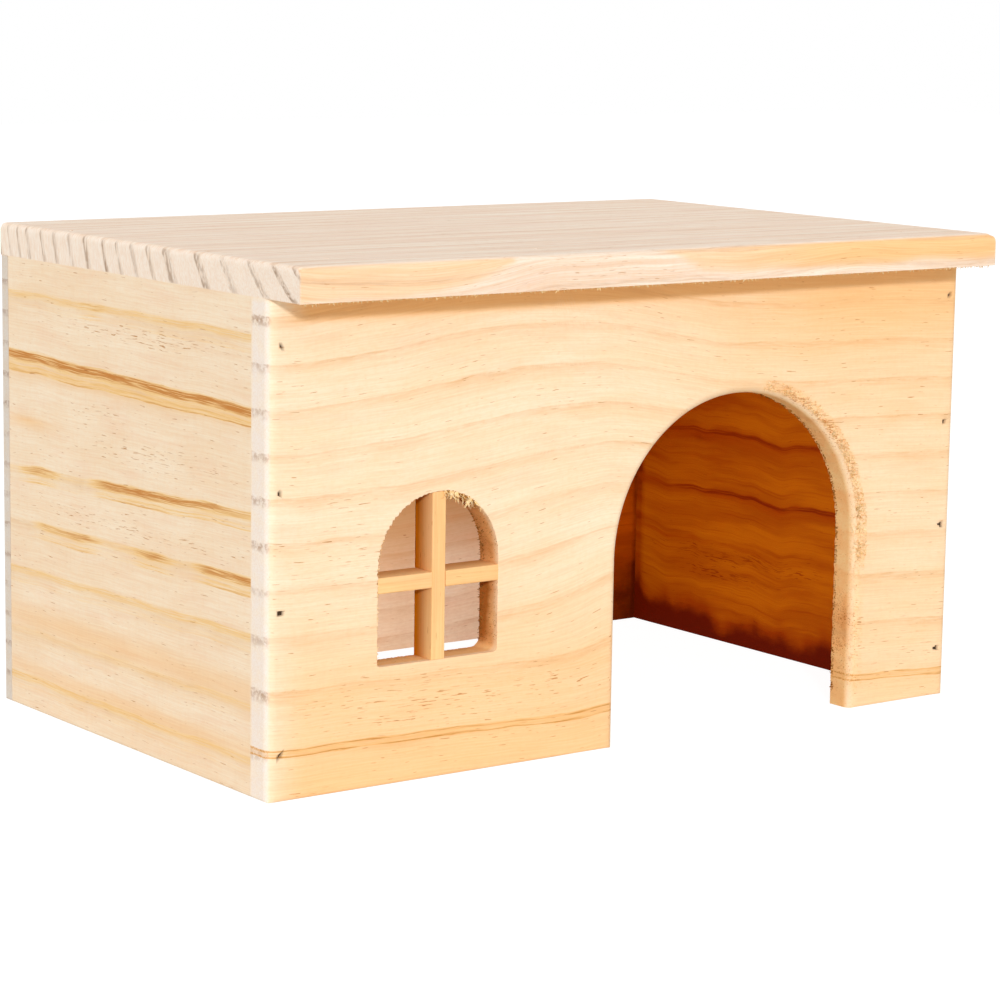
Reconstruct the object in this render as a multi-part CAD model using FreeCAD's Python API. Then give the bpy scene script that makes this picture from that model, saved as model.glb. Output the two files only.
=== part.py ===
import FreeCAD, Part
import math
import os

# A wooden house for a hamster: four upright boards without a floor, a flat roof that stands out
# over the front, an arched doorway, and an arched window with two crossed bars.
# Millimetres. X runs along the front from left to right, Y from front to back, and Z up.
# The origin is on the floor, under the middle of the house with its roof on.

Vector = FreeCAD.Vector
UP = Vector(0, 0, 1)
DOWN = Vector(0, 0, -1)
BACKWARDS = Vector(0, 1, 0)
FORWARDS = Vector(0, -1, 0)
RIGHTWARDS = Vector(1, 0, 0)

# House
HOUSE_WIDTH = 300.0
WALL_DEPTH = 182.0
WALL_HEIGHT = 163.0
ROOF_OVERHANG = 18.0

# Thickness of the boards
FRONT_BOARD = 10.5
BACK_BOARD = 7.0
SIDE_BOARD = 9.5
ROOF_BOARD = 11.5

# Sanded edges
CORNER_ROUND = 3.0
FOOT_ROUND = 0.8
ROOF_FRONT_ROUND = 3.5
ROOF_EDGE_ROUND = 2.2

# Doorway in the front panel, measured from the house's right end and from the floor
DOOR_MARGIN = 48.0
DOOR_WIDTH = 110.0
DOOR_SPRING = 65.5
DOOR_ROLL = 3.5

# Window in the front panel, measured from the house's left end and from the floor
WINDOW_MARGIN = 42.2
WINDOW_WIDTH = 48.6
WINDOW_SILL = 40.0
WINDOW_SPRING = 72.2
WINDOW_CORNER = 3.5

# Window bars, halved into each other where they cross and glued into the opening
BAR_WIDTH = 5.4
BAR_ROUND = 0.5
CROSS_BAR_HEIGHT = 67.0
BAR_GLUE_GAP = 0.05
LAP_GAP = 0.1

# Brads of flat wire with a chisel point, driven below the surface
BRAD_LENGTH = 22.0
BRAD_SHANK_WIDTH = 1.25
BRAD_SHANK_THICKNESS = 1.05
BRAD_HEAD_WIDTH = 2.0
BRAD_HEAD_THICKNESS = 1.6
BRAD_HEAD_DEPTH = 0.8
BRAD_POINT = 1.6
BRAD_SUNK = 0.8
BRAD_CLEARANCE = 0.05

# Rows of brads up the corners: two near the ends of the wall and two about its middle
CORNER_BRAD_END = 15.0
CORNER_BRAD_MIDDLE_GAP = 39.0
RIGHT_ROW_RISE = 3.0

# Rows of brads down through the roof
ROOF_BRAD_SPACING = 95.0
LONG_ROW_END = 25.0
SIDE_ROW_END = 45.0

# A cutter reaches this far past the face that it starts from
CUTTER_REACH = 5.0

# A corner's round takes up to this share of half a side, so that a flat is left between rounds
MOST_ROUND_SHARE = 0.98

# The middle of a quarter-round lies this share of its radius in from both of its sides
ARC_BEND = 1 - math.sqrt(0.5)

# Places that follow from the sizes
LEFT = -HOUSE_WIDTH / 2
RIGHT = HOUSE_WIDTH / 2
ROOF_FRONT = -(WALL_DEPTH + ROOF_OVERHANG) / 2
FRONT_FACE = ROOF_FRONT + ROOF_OVERHANG
BACK_FACE = FRONT_FACE + WALL_DEPTH
SIDE_FRONT = FRONT_FACE + FRONT_BOARD
SIDE_BACK = BACK_FACE - BACK_BOARD
ROOF_TOP = WALL_HEIGHT + ROOF_BOARD
DOOR_CENTRE = RIGHT - DOOR_MARGIN - DOOR_WIDTH / 2
WINDOW_CENTRE = LEFT + WINDOW_MARGIN + WINDOW_WIDTH / 2
BAR_LAP = FRONT_FACE + FRONT_BOARD / 2
SIDE_MIDDLES = (LEFT + SIDE_BOARD / 2, RIGHT - SIDE_BOARD / 2)


def rounded_rectangle(low, high, rounds, to_space):
    """Face of a rectangle whose corners have their own radii, none of them past half a side.

    The radii run round the corners from (low, low) by (high, low) and (high, high) to
    (low, high). to_space places a point of the rectangle in space.
    """
    corners = [(low[0], low[1]), (high[0], low[1]), (high[0], high[1]), (low[0], high[1])]
    along = [(1, 0), (0, 1), (-1, 0), (0, -1)]
    half_side = min(high[0] - low[0], high[1] - low[1]) / 2
    turns = []
    for number, (corner, radius) in enumerate(zip(corners, rounds)):
        radius = min(radius, MOST_ROUND_SHARE * half_side)
        into = along[number - 1]
        out = along[number]
        start = to_space(corner[0] - into[0] * radius, corner[1] - into[1] * radius)
        end = to_space(corner[0] + out[0] * radius, corner[1] + out[1] * radius)
        middle = to_space(
            corner[0] + (out[0] - into[0]) * radius * ARC_BEND,
            corner[1] + (out[1] - into[1]) * radius * ARC_BEND,
        )
        turns.append((radius, start, middle, end))
    edges = []
    for number, (radius, start, middle, end) in enumerate(turns):
        if radius > 0:
            edges.append(Part.Arc(start, middle, end).toShape())
        next_start = turns[(number + 1) % len(turns)][1]
        edges.append(Part.makeLine(end, next_start))
    return Part.Face(Part.Wire(edges))


def board(low, high, plan=(0, 0, 0, 0), end_view=(0, 0, 0, 0), front_view=(0, 0, 0, 0)):
    """Board with sanded edges: what its plan, its end view and its front view have in common.

    Each view has the radii of its four corners. The plan is in X and Y, the end view in Y and
    Z, and the front view in X and Z.
    """
    size = [high[axis] - low[axis] for axis in range(3)]
    blank = rounded_rectangle(
        (low[0], low[1]), (high[0], high[1]), plan, lambda x, y: Vector(x, y, low[2])
    ).extrude(UP * size[2])
    if any(end_view):
        end_prism = rounded_rectangle(
            (low[1], low[2]), (high[1], high[2]), end_view, lambda y, z: Vector(low[0], y, z)
        ).extrude(Vector(size[0], 0, 0))
        blank = blank.common(end_prism)
    if any(front_view):
        front_prism = rounded_rectangle(
            (low[0], low[2]), (high[0], high[2]), front_view, lambda x, z: Vector(x, low[1], z)
        ).extrude(Vector(0, size[1], 0))
        blank = blank.common(front_prism)
    return only_solid(blank)


def only_solid(shape):
    """The one solid that a cut or a common left, with its split faces joined."""
    return shape.Solids[0].removeSplitter()


def doorway_cutter():
    """Doorway: upright jambs under a half-round arch, rolled over along the front edge.

    The roll's section runs from the centre line out to the jamb. It turns half a turn about
    the arch's centre, and runs straight down both jambs.
    """
    half = DOOR_WIDTH / 2
    before = FRONT_FACE - CUTTER_REACH
    behind = SIDE_FRONT + CUTTER_REACH
    bend = DOOR_ROLL * ARC_BEND
    on_face = Vector(half + DOOR_ROLL, FRONT_FACE, 0)
    on_jamb = Vector(half, FRONT_FACE + DOOR_ROLL, 0)
    between = Vector(half + bend, FRONT_FACE + bend, 0)
    outline = [
        Part.makeLine(Vector(0, before, 0), Vector(half + DOOR_ROLL, before, 0)),
        Part.makeLine(Vector(half + DOOR_ROLL, before, 0), on_face),
        Part.Arc(on_face, between, on_jamb).toShape(),
        Part.makeLine(on_jamb, Vector(half, behind, 0)),
        Part.makeLine(Vector(half, behind, 0), Vector(0, behind, 0)),
        Part.makeLine(Vector(0, behind, 0), Vector(0, before, 0)),
    ]
    section = Part.Face(Part.Wire(outline))
    arch = section.revolve(Vector(0, 0, 0), FORWARDS, 180)
    right_jamb = section.extrude(DOWN * (DOOR_SPRING + CUTTER_REACH))
    left_jamb = right_jamb.mirror(Vector(0, 0, 0), Vector(1, 0, 0))
    cutter = arch.fuse([right_jamb, left_jamb])
    cutter.translate(Vector(DOOR_CENTRE, 0, DOOR_SPRING))
    return cutter


def window_prism(shrink, before, behind):
    """Window's shape from the plane Y = before to Y = behind, drawn in all round by shrink.

    A half-round arch stands on upright sides, and the sill's corners are rounded.
    """
    left = WINDOW_CENTRE - WINDOW_WIDTH / 2 + shrink
    right = WINDOW_CENTRE + WINDOW_WIDTH / 2 - shrink
    sill = WINDOW_SILL + shrink
    top = WINDOW_SPRING + WINDOW_WIDTH / 2 - shrink
    corner = WINDOW_CORNER - shrink
    bend = corner * ARC_BEND

    def at(x, z):
        return Vector(x, before, z)

    edges = [
        Part.makeLine(at(left + corner, sill), at(right - corner, sill)),
        Part.Arc(at(right - corner, sill), at(right - bend, sill + bend), at(right, sill + corner)).toShape(),
        Part.makeLine(at(right, sill + corner), at(right, WINDOW_SPRING)),
        Part.Arc(at(right, WINDOW_SPRING), at(WINDOW_CENTRE, top), at(left, WINDOW_SPRING)).toShape(),
        Part.makeLine(at(left, WINDOW_SPRING), at(left, sill + corner)),
        Part.Arc(at(left, sill + corner), at(left + bend, sill + bend), at(left + corner, sill)).toShape(),
    ]
    return Part.Face(Part.Wire(edges)).extrude(BACKWARDS * (behind - before))


def front_panel():
    """Panel with the doorway and the window, across the front ends of both side boards."""
    blank = board(
        (LEFT, FRONT_FACE, 0),
        (RIGHT, SIDE_FRONT, WALL_HEIGHT),
        plan=(CORNER_ROUND, CORNER_ROUND, 0, 0),
        end_view=(FOOT_ROUND, 0, 0, 0),
        front_view=(FOOT_ROUND, FOOT_ROUND, 0, 0),
    )
    window = window_prism(0, FRONT_FACE - CUTTER_REACH, SIDE_FRONT + CUTTER_REACH)
    return blank.cut([doorway_cutter(), window])


def back_panel():
    """Plain panel across the back ends of both side boards."""
    return board(
        (LEFT, SIDE_BACK, 0),
        (RIGHT, BACK_FACE, WALL_HEIGHT),
        plan=(0, 0, CORNER_ROUND, CORNER_ROUND),
        end_view=(0, FOOT_ROUND, 0, 0),
        front_view=(FOOT_ROUND, FOOT_ROUND, 0, 0),
    )


def left_side_panel():
    """Side board between the front and back panels, at the left end."""
    return board(
        (LEFT, SIDE_FRONT, 0),
        (LEFT + SIDE_BOARD, SIDE_BACK, WALL_HEIGHT),
        front_view=(FOOT_ROUND, 0, 0, 0),
    )


def right_side_panel():
    """Side board between the front and back panels, at the right end."""
    return board(
        (RIGHT - SIDE_BOARD, SIDE_FRONT, 0),
        (RIGHT, SIDE_BACK, WALL_HEIGHT),
        front_view=(0, FOOT_ROUND, 0, 0),
    )


def roof_board():
    """Flat roof, flush with the sides and back and standing out over the front."""
    return board(
        (LEFT, ROOF_FRONT, WALL_HEIGHT),
        (RIGHT, BACK_FACE, ROOF_TOP),
        plan=(0, 0, ROOF_EDGE_ROUND, ROOF_EDGE_ROUND),
        end_view=(0, 0, ROOF_EDGE_ROUND, ROOF_FRONT_ROUND),
        front_view=(0, 0, ROOF_EDGE_ROUND, ROOF_EDGE_ROUND),
    )


def window_bar_upright():
    """Upright bar, whole across the front and notched behind for the cross bar."""
    bar = board(
        (WINDOW_CENTRE - BAR_WIDTH / 2, FRONT_FACE, WINDOW_SILL),
        (WINDOW_CENTRE + BAR_WIDTH / 2, SIDE_FRONT, WINDOW_SPRING + WINDOW_WIDTH / 2),
        plan=(BAR_ROUND, BAR_ROUND, BAR_ROUND, BAR_ROUND),
    )
    notch_height = BAR_WIDTH + 2 * LAP_GAP
    notch = Part.makeBox(
        2 * BAR_WIDTH,
        FRONT_BOARD,
        notch_height,
        Vector(WINDOW_CENTRE - BAR_WIDTH, BAR_LAP, CROSS_BAR_HEIGHT - notch_height / 2),
    )
    return bar.common(window_prism(BAR_GLUE_GAP, FRONT_FACE, SIDE_FRONT)).cut(notch)


def window_bar_across():
    """Cross bar, whole across the back and notched in front for the upright bar."""
    bar = board(
        (WINDOW_CENTRE - WINDOW_WIDTH / 2, FRONT_FACE, CROSS_BAR_HEIGHT - BAR_WIDTH / 2),
        (WINDOW_CENTRE + WINDOW_WIDTH / 2, SIDE_FRONT, CROSS_BAR_HEIGHT + BAR_WIDTH / 2),
        end_view=(BAR_ROUND, BAR_ROUND, BAR_ROUND, BAR_ROUND),
    )
    notch_width = BAR_WIDTH + 2 * LAP_GAP
    notch = Part.makeBox(
        notch_width,
        FRONT_BOARD,
        2 * BAR_WIDTH,
        Vector(WINDOW_CENTRE - notch_width / 2, BAR_LAP - FRONT_BOARD, CROSS_BAR_HEIGHT - BAR_WIDTH),
    )
    return bar.common(window_prism(BAR_GLUE_GAP, FRONT_FACE, SIDE_FRONT)).cut(notch)


def brad(clearance=0.0, mouth=0.0):
    """Brad that points down Z, with the top of its head at the origin and its width along X.

    With a clearance it is the hole that the brad fills, and mouth is the length of the hole
    above the head.
    """
    half_head = BRAD_HEAD_WIDTH / 2 + clearance
    half_head_thickness = BRAD_HEAD_THICKNESS / 2 + clearance
    half_shank = BRAD_SHANK_WIDTH / 2 + clearance
    half_thickness = BRAD_SHANK_THICKNESS / 2 + clearance
    head = Part.makeBox(
        2 * half_head,
        2 * half_head_thickness,
        mouth + BRAD_HEAD_DEPTH,
        Vector(-half_head, -half_head_thickness, -BRAD_HEAD_DEPTH),
    )
    side = [
        Vector(half_shank, -half_thickness, -BRAD_HEAD_DEPTH / 2),
        Vector(half_shank, -half_thickness, BRAD_POINT - BRAD_LENGTH),
        Vector(0, -half_thickness, -BRAD_LENGTH - clearance),
        Vector(-half_shank, -half_thickness, BRAD_POINT - BRAD_LENGTH),
        Vector(-half_shank, -half_thickness, -BRAD_HEAD_DEPTH / 2),
        Vector(half_shank, -half_thickness, -BRAD_HEAD_DEPTH / 2),
    ]
    shank = Part.Face(Part.makePolygon(side)).extrude(BACKWARDS * (2 * half_thickness))
    return head.fuse(shank).removeSplitter()


def driven(shape, face_point, direction, along):
    """Copy of a brad or its hole, driven below a face, with its width along the row."""
    copy = shape.copy()
    turn = FreeCAD.Rotation(along, Vector(), -direction, "ZXY")
    copy.Placement = FreeCAD.Placement(face_point + direction * BRAD_SUNK, turn)
    return copy


def corner_row(x, face, inward, rise):
    """Brads through the front or back panel into the end of one side board.

    A row lists where each brad enters, which way it is driven and which way the row runs.
    """
    middle = WALL_HEIGHT / 2
    heights = (
        CORNER_BRAD_END,
        middle - CORNER_BRAD_MIDDLE_GAP / 2,
        middle + CORNER_BRAD_MIDDLE_GAP / 2,
        WALL_HEIGHT - CORNER_BRAD_END,
    )
    return [(Vector(x, face, height + rise), inward, UP) for height in heights]


def evenly(first, last, spacing):
    """Places from first to last, evenly spaced and no further apart than spacing."""
    gaps = math.ceil((last - first) / spacing)
    return [first + (last - first) * number / gaps for number in range(gaps + 1)]


def roof_row_along(y):
    """Brads through the roof into the front or back panel."""
    places = evenly(LEFT + LONG_ROW_END, RIGHT - LONG_ROW_END, ROOF_BRAD_SPACING)
    return [(Vector(x, y, ROOF_TOP), DOWN, RIGHTWARDS) for x in places]


def roof_row_across(x):
    """Brads through the roof into one side board."""
    places = evenly(FRONT_FACE + SIDE_ROW_END, BACK_FACE - SIDE_ROW_END, ROOF_BRAD_SPACING)
    return [(Vector(x, y, ROOF_TOP), DOWN, BACKWARDS) for y in places]


def brad_rows():
    """Every row of brads by its name."""
    left, right = SIDE_MIDDLES
    return {
        "front_left_brads": corner_row(left, FRONT_FACE, BACKWARDS, 0),
        "front_right_brads": corner_row(right, FRONT_FACE, BACKWARDS, RIGHT_ROW_RISE),
        "back_left_brads": corner_row(left, BACK_FACE, FORWARDS, 0),
        "back_right_brads": corner_row(right, BACK_FACE, FORWARDS, RIGHT_ROW_RISE),
        "roof_front_brads": roof_row_along((FRONT_FACE + SIDE_FRONT) / 2),
        "roof_back_brads": roof_row_along((SIDE_BACK + BACK_FACE) / 2),
        "roof_left_brads": roof_row_across(left),
        "roof_right_brads": roof_row_across(right),
    }


def build():
    """Every piece of the house by its name."""
    pieces = {
        "front_panel": front_panel(),
        "back_panel": back_panel(),
        "left_side_panel": left_side_panel(),
        "right_side_panel": right_side_panel(),
        "roof_board": roof_board(),
    }
    rows = brad_rows()
    hole = brad(BRAD_CLEARANCE, BRAD_SUNK + CUTTER_REACH)
    holes = [driven(hole, *place) for row in rows.values() for place in row]
    for name, piece in pieces.items():
        pieces[name] = piece.cut(holes).Solids[0]
    pieces["window_bar_upright"] = only_solid(window_bar_upright())
    pieces["window_bar_across"] = only_solid(window_bar_across())
    for name, row in rows.items():
        pieces[name] = Part.makeCompound([driven(brad(), *place) for place in row])
    return pieces


os.makedirs("parts", exist_ok=True)
for node, shape in build().items():
    shape.exportStep("parts/" + node + ".step")
    print(node, "solids", len(shape.Solids), "volume", round(shape.Volume, 1), "valid", shape.isValid())
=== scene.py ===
"""A wooden house for a hamster: sanded pine boards, an arched doorway, a small window and brads.

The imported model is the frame. Each board is remodelled over its node as a dense surface that
carries the run of its own grain, and the torn wood round the openings is made fibre by fibre.
Sizes and patterns are in millimetres until a mesh is written, which is in metres. X runs along
the front from left to right, Y from front to back, and Z up.
"""

import logging
import math
from dataclasses import dataclass
from enum import Enum

import bmesh
import bpy
import numpy as np
from mathutils import Matrix, Vector


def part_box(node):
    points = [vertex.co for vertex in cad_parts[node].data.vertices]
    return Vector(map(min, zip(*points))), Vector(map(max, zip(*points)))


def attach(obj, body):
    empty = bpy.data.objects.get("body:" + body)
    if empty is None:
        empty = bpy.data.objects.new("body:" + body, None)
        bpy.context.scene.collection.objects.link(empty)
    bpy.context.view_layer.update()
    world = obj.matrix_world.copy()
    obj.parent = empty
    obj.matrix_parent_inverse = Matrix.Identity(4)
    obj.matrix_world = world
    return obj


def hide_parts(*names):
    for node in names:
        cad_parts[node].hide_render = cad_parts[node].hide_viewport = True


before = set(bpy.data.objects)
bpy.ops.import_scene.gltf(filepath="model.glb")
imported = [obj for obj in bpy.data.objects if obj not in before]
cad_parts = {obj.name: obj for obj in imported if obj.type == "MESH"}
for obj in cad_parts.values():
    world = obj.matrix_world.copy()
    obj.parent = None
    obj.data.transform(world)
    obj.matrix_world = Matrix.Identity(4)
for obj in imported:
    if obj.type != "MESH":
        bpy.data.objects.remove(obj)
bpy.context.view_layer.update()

MM = 0.001
BODY = "root"
WELDS_PER_MM = 2000
ON_FACE = 0.01
FIBRE_CREASE = 80.0

Socket = bpy.types.NodeSocket
Value = Socket | float | tuple

log = logging.getLogger("hamster_house")


def linear(hex_colour: str) -> tuple[float, float, float, float]:
    """Turns an sRGB hex colour into the linear colour that a shader takes.

    Args:
        hex_colour: Six hex digits after a hash mark.

    Returns:
        Red, green, blue and an alpha of 1.
    """
    parts = [int(hex_colour[place:place + 2], 16) / 255 for place in (1, 3, 5)]
    red, green, blue = (
        part / 12.92 if part <= 0.04045 else ((part + 0.055) / 1.055) ** 2.4 for part in parts
    )
    return (red, green, blue, 1.0)


def smooth(low: float, high: float, value: np.ndarray) -> np.ndarray:
    """Rises from 0 at low to 1 at high as three squares less two cubes of the share between."""
    share = np.clip((value - low) / (high - low), 0, 1)
    return share * share * (3 - 2 * share)


def ripple(value: np.ndarray, seed: int, length: float) -> np.ndarray:
    """Smooth random wave between about -1 and 1 along one measure.

    The wave is the mean of four sines whose lengths run from the given one down to a fifth of
    it, each with a random phase.

    Args:
        value: Places in millimetres.
        seed: Number that fixes the random phases.
        length: Longest wavelength in millimetres.

    Returns:
        Height of the wave at each place.
    """
    rng = np.random.default_rng(seed)
    total = np.zeros_like(value, dtype=float)
    for share in (1.0, 0.61, 0.37, 0.2):
        phase = rng.uniform(0, 2 * math.pi)
        total += share * np.sin(2 * math.pi * value / (length * share) + phase)
    return total / 1.6


def stations(
    low: float,
    high: float,
    pitch: float,
    fine: tuple[tuple[float, float, float], ...] = (),
) -> np.ndarray:
    """Places along an edge: even ones, with closer ones about the given spots.

    Args:
        low: First place.
        high: Last place.
        pitch: Distance between the even places.
        fine: Spots as their centre, how far the closer places reach, and their distance.

    Returns:
        Sorted places with both ends.
    """
    groups = [np.linspace(low, high, max(2, round((high - low) / pitch) + 1))]
    for centre, reach, step in fine:
        groups.append(np.arange(centre - reach, centre + reach + step / 2, step))
    places = np.unique(np.concatenate(groups).round(3))
    places = places[(places >= low) & (places <= high)]
    least = min([pitch] + [step for _, _, step in fine]) * 0.45
    kept = np.concatenate(([True], np.diff(places) > least))
    kept[-1] = True
    return places[kept]


def round_corner(
    points: np.ndarray,
    axes: tuple[int, int],
    corner: tuple[float, float],
    outward: tuple[int, int],
    radius: float,
) -> None:
    """Rolls one square edge of a surface over to a quarter-round, in place.

    A point in the corner's square keeps its direction from the centre of the round, and its
    distance becomes the larger of its two offsets, so that the square's sides bend to an arc.

    Args:
        points: Points of the surface, changed in place.
        axes: The two axes of the view in which the round shows.
        corner: Where the square edge stands in that view.
        outward: Signs of the two directions that leave the board at that corner.
        radius: Radius of the round.
    """
    first = outward[0] * (points[:, axes[0]] - corner[0]) + radius
    second = outward[1] * (points[:, axes[1]] - corner[1]) + radius
    inside = (first > 0) & (second > 0)
    scale = np.maximum(first, second)[inside] / np.hypot(first, second)[inside]
    points[inside, axes[0]] = corner[0] + outward[0] * (first[inside] * scale - radius)
    points[inside, axes[1]] = corner[1] + outward[1] * (second[inside] * scale - radius)


class Surface:
    """Points and faces of one piece, gathered grid by grid and welded where the grids meet."""

    def __init__(self) -> None:
        """Starts an empty surface."""
        self.points: list[np.ndarray] = []
        self.faces: list[np.ndarray] = []
        self.polygons: list[list[int]] = []
        self.count = 0

    def add_grid(self, grid: np.ndarray) -> None:
        """Adds a grid of points, row by row, with a quad in each of its cells.

        Args:
            grid: Array of rows by columns by 3.
        """
        rows, columns = grid.shape[:2]
        numbers = np.arange(rows * columns).reshape(rows, columns) + self.count
        cells = [numbers[:-1, :-1], numbers[:-1, 1:], numbers[1:, 1:], numbers[1:, :-1]]
        self.faces.append(np.stack([cell.ravel() for cell in cells], axis=1))
        self.points.append(grid.reshape(-1, 3))
        self.count += rows * columns

    def add_polygon(self, outline: np.ndarray) -> None:
        """Adds one flat face with many corners.

        Args:
            outline: Its corners in order, as an array of corners by 3.
        """
        self.polygons.append(list(range(self.count, self.count + len(outline))))
        self.points.append(outline)
        self.count += len(outline)

    def weld(self) -> tuple[np.ndarray, list[list[int]]]:
        """Merges points that lie in one place and drops the repeats from each face.

        Returns:
            The points, and the faces as lists of point numbers.
        """
        points = np.concatenate(self.points)
        keys = np.round(points * WELDS_PER_MM).astype(np.int64)
        _, first, number = np.unique(keys, axis=0, return_index=True, return_inverse=True)
        number = number.ravel()
        quads = number[np.concatenate(self.faces)]
        whole = (quads != np.roll(quads, 1, axis=1)).all(axis=1)
        faces = quads[whole].tolist()
        ragged = [list(number[face]) for face in self.polygons] + quads[~whole].tolist()
        for face in ragged:
            kept = [int(spot) for place, spot in enumerate(face) if spot != face[place - 1]]
            if len(set(kept)) > 2:
                faces.append(kept)
        return points[first], faces


def box_surface(lines: list[np.ndarray]) -> Surface:
    """Skin of a block as six grids, whose lines stand at the given places of each axis.

    Args:
        lines: Places along X, Y and Z.

    Returns:
        The six faces of the block.
    """
    surface = Surface()
    for axis in range(3):
        others = [number for number in range(3) if number != axis]
        first, second = np.meshgrid(lines[others[0]], lines[others[1]], indexing="ij")
        for end in (0, -1):
            grid = np.empty(first.shape + (3,))
            grid[..., axis] = lines[axis][end]
            grid[..., others[0]] = first
            grid[..., others[1]] = second
            surface.add_grid(grid)
    return surface


def make_object(
    name: str,
    points: np.ndarray,
    faces: list[list[int]],
    crease: float = 38.0,
) -> bpy.types.Object:
    """Makes a closed mesh object whose faces point outwards.

    Args:
        name: Name of the piece.
        points: Points in millimetres.
        faces: Faces as lists of point numbers.
        crease: Angle in degrees past which an edge stays sharp.

    Returns:
        The object, which sits at the origin.
    """
    mesh = bpy.data.meshes.new(name)
    mesh.from_pydata((points * MM).tolist(), [], faces)
    shape = bmesh.new()
    shape.from_mesh(mesh)
    bmesh.ops.recalc_face_normals(shape, faces=shape.faces)
    shape.to_mesh(mesh)
    shape.free()
    mesh.polygons.foreach_set("use_smooth", np.ones(len(mesh.polygons), dtype=bool))
    mesh.set_sharp_from_angle(angle=math.radians(crease))
    mesh.update()
    obj = bpy.data.objects.new(name, mesh)
    bpy.context.scene.collection.objects.link(obj)
    return obj


def write_vectors(mesh: bpy.types.Mesh, name: str, columns: list[np.ndarray]) -> None:
    """Writes three numbers per point as a named attribute of the mesh.

    Args:
        mesh: Mesh that gets the attribute.
        name: Name that the material reads.
        columns: Three arrays with a number per point.
    """
    attribute = mesh.attributes.new(name, "FLOAT_VECTOR", "POINT")
    attribute.data.foreach_set("vector", np.stack(columns, axis=1).astype(np.float32).ravel())


def point_normals(mesh: bpy.types.Mesh) -> np.ndarray:
    """Normals of the mesh's points as an array of points by 3.

    Args:
        mesh: The mesh.

    Returns:
        The normals.
    """
    normals = np.empty(len(mesh.vertices) * 3, dtype=np.float32)
    mesh.vertex_normals.foreach_get("vector", normals)
    return normals.reshape(-1, 3)


def node_box(node: str) -> tuple[np.ndarray, np.ndarray]:
    """Lowest and highest corner of a node of the frame, in millimetres."""
    low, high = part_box(node)
    return np.round(np.array(low) / MM, 3), np.round(np.array(high) / MM, 3)


class Shader:
    """Node tree of a material or a world, with a short way to write each kind of step."""

    def __init__(self, owner: bpy.types.Material | bpy.types.World) -> None:
        """Empties the owner's node tree.

        Args:
            owner: Material or world to dress.
        """
        owner.use_nodes = True
        self.tree = owner.node_tree
        self.tree.nodes.clear()
        self.is_world = isinstance(owner, bpy.types.World)

    def add(
        self,
        kind: str,
        settings: dict | None = None,
        links: dict | None = None,
        output: int | str = 0,
    ) -> Socket:
        """Adds one node.

        Args:
            kind: Type of the node, without its first word.
            settings: Properties of the node.
            links: Input by name or number, with the socket to link from or the value to hold.
            output: Output by name or number.

        Returns:
            The chosen output of the node.
        """
        node = self.tree.nodes.new("ShaderNode" + kind)
        for name, value in (settings or {}).items():
            setattr(node, name, value)
        for place, value in (links or {}).items():
            if isinstance(value, Socket):
                self.tree.links.new(value, node.inputs[place])
            else:
                node.inputs[place].default_value = value
        return node.outputs[output]

    def calc(self, operation: str, *values: Value) -> Socket:
        """One step of arithmetic on numbers."""
        return self.add("Math", {"operation": operation}, dict(enumerate(values)))

    def product(self, *values: Value) -> Socket:
        """Product of several numbers.

        Args:
            values: The numbers.

        Returns:
            Their product.
        """
        total = values[0]
        for value in values[1:]:
            total = self.calc("MULTIPLY", total, value)
        return total

    def between(self, value: Value, low: float, high: float, start: float = 0, stop: float = 1) -> Socket:
        """Value taken smoothly from one range to another and held at its ends."""
        return self.add("MapRange", {"interpolation_type": "SMOOTHSTEP"}, {
            "Value": value, "From Min": low, "From Max": high, "To Min": start, "To Max": stop,
        })

    def mix(self, share: Value, first: Value, second: Value, blend: str = "MIX") -> Socket:
        """Two colours mixed by a share."""
        return self.add("Mix", {"data_type": "RGBA", "blend_type": blend}, {0: share, 6: first, 7: second}, 2)

    def ramp(self, value: Value, stops: tuple[tuple[float, float], ...]) -> Socket:
        """Height of a line drawn through the given stops, at a place from 0 to 1.

        Args:
            value: Place along the line.
            stops: Places, each with the height there.

        Returns:
            The height at the place.
        """
        output = self.add("ValToRGB", {}, {0: value})
        elements = output.node.color_ramp.elements
        while len(elements) < len(stops):
            elements.new(0.5)
        for element, (place, height) in zip(elements, sorted(stops)):
            element.position = place
            element.color = (height, height, height, 1)
        return output

    def stretch(self, flow: Value, sizes: tuple[float, float, float], shift: float = 0.0) -> Socket:
        """Coordinates in which the given sizes in millimetres become one.

        Args:
            flow: Place in millimetres.
            sizes: Size along each axis.
            shift: Amount added to each part, which gives a pattern a place of its own.

        Returns:
            The coordinates.
        """
        scale = tuple(1 / size for size in sizes)
        scaled = self.add("VectorMath", {"operation": "MULTIPLY"}, {0: flow, 1: scale})
        return self.add("VectorMath", {"operation": "ADD"}, {0: scaled, 1: (shift,) * 3})

    def noise(self, flow: Value, length: float, across: float, detail: float = 2, shift: float = 0) -> Socket:
        """Noise drawn out along the fibres, with its two sizes in millimetres.

        Args:
            flow: Place in millimetres.
            length: Size of its clouds along the fibres.
            across: Size of its clouds across the fibres.
            detail: Number of finer layers.
            shift: Amount that gives the noise a place of its own.

        Returns:
            The noise, about a half on average.
        """
        place = self.stretch(flow, (length, across, across), shift)
        return self.add("TexNoise", {"noise_dimensions": "3D"}, {
            "Vector": place, "Scale": 1.0, "Detail": float(detail), "Roughness": 0.55,
        })

    def split(self, vector: Socket) -> list[Socket]:
        """The three parts of a vector.

        Args:
            vector: The vector.

        Returns:
            Its parts in order.
        """
        node = self.tree.nodes.new("ShaderNodeSeparateXYZ")
        self.tree.links.new(vector, node.inputs[0])
        return list(node.outputs)

    def finish(self, shader: Socket) -> None:
        """Links the finished shader to the output."""
        node = self.tree.nodes.new("ShaderNodeOutputWorld" if self.is_world else "ShaderNodeOutputMaterial")
        self.tree.links.new(shader, node.inputs["Surface"])


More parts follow.
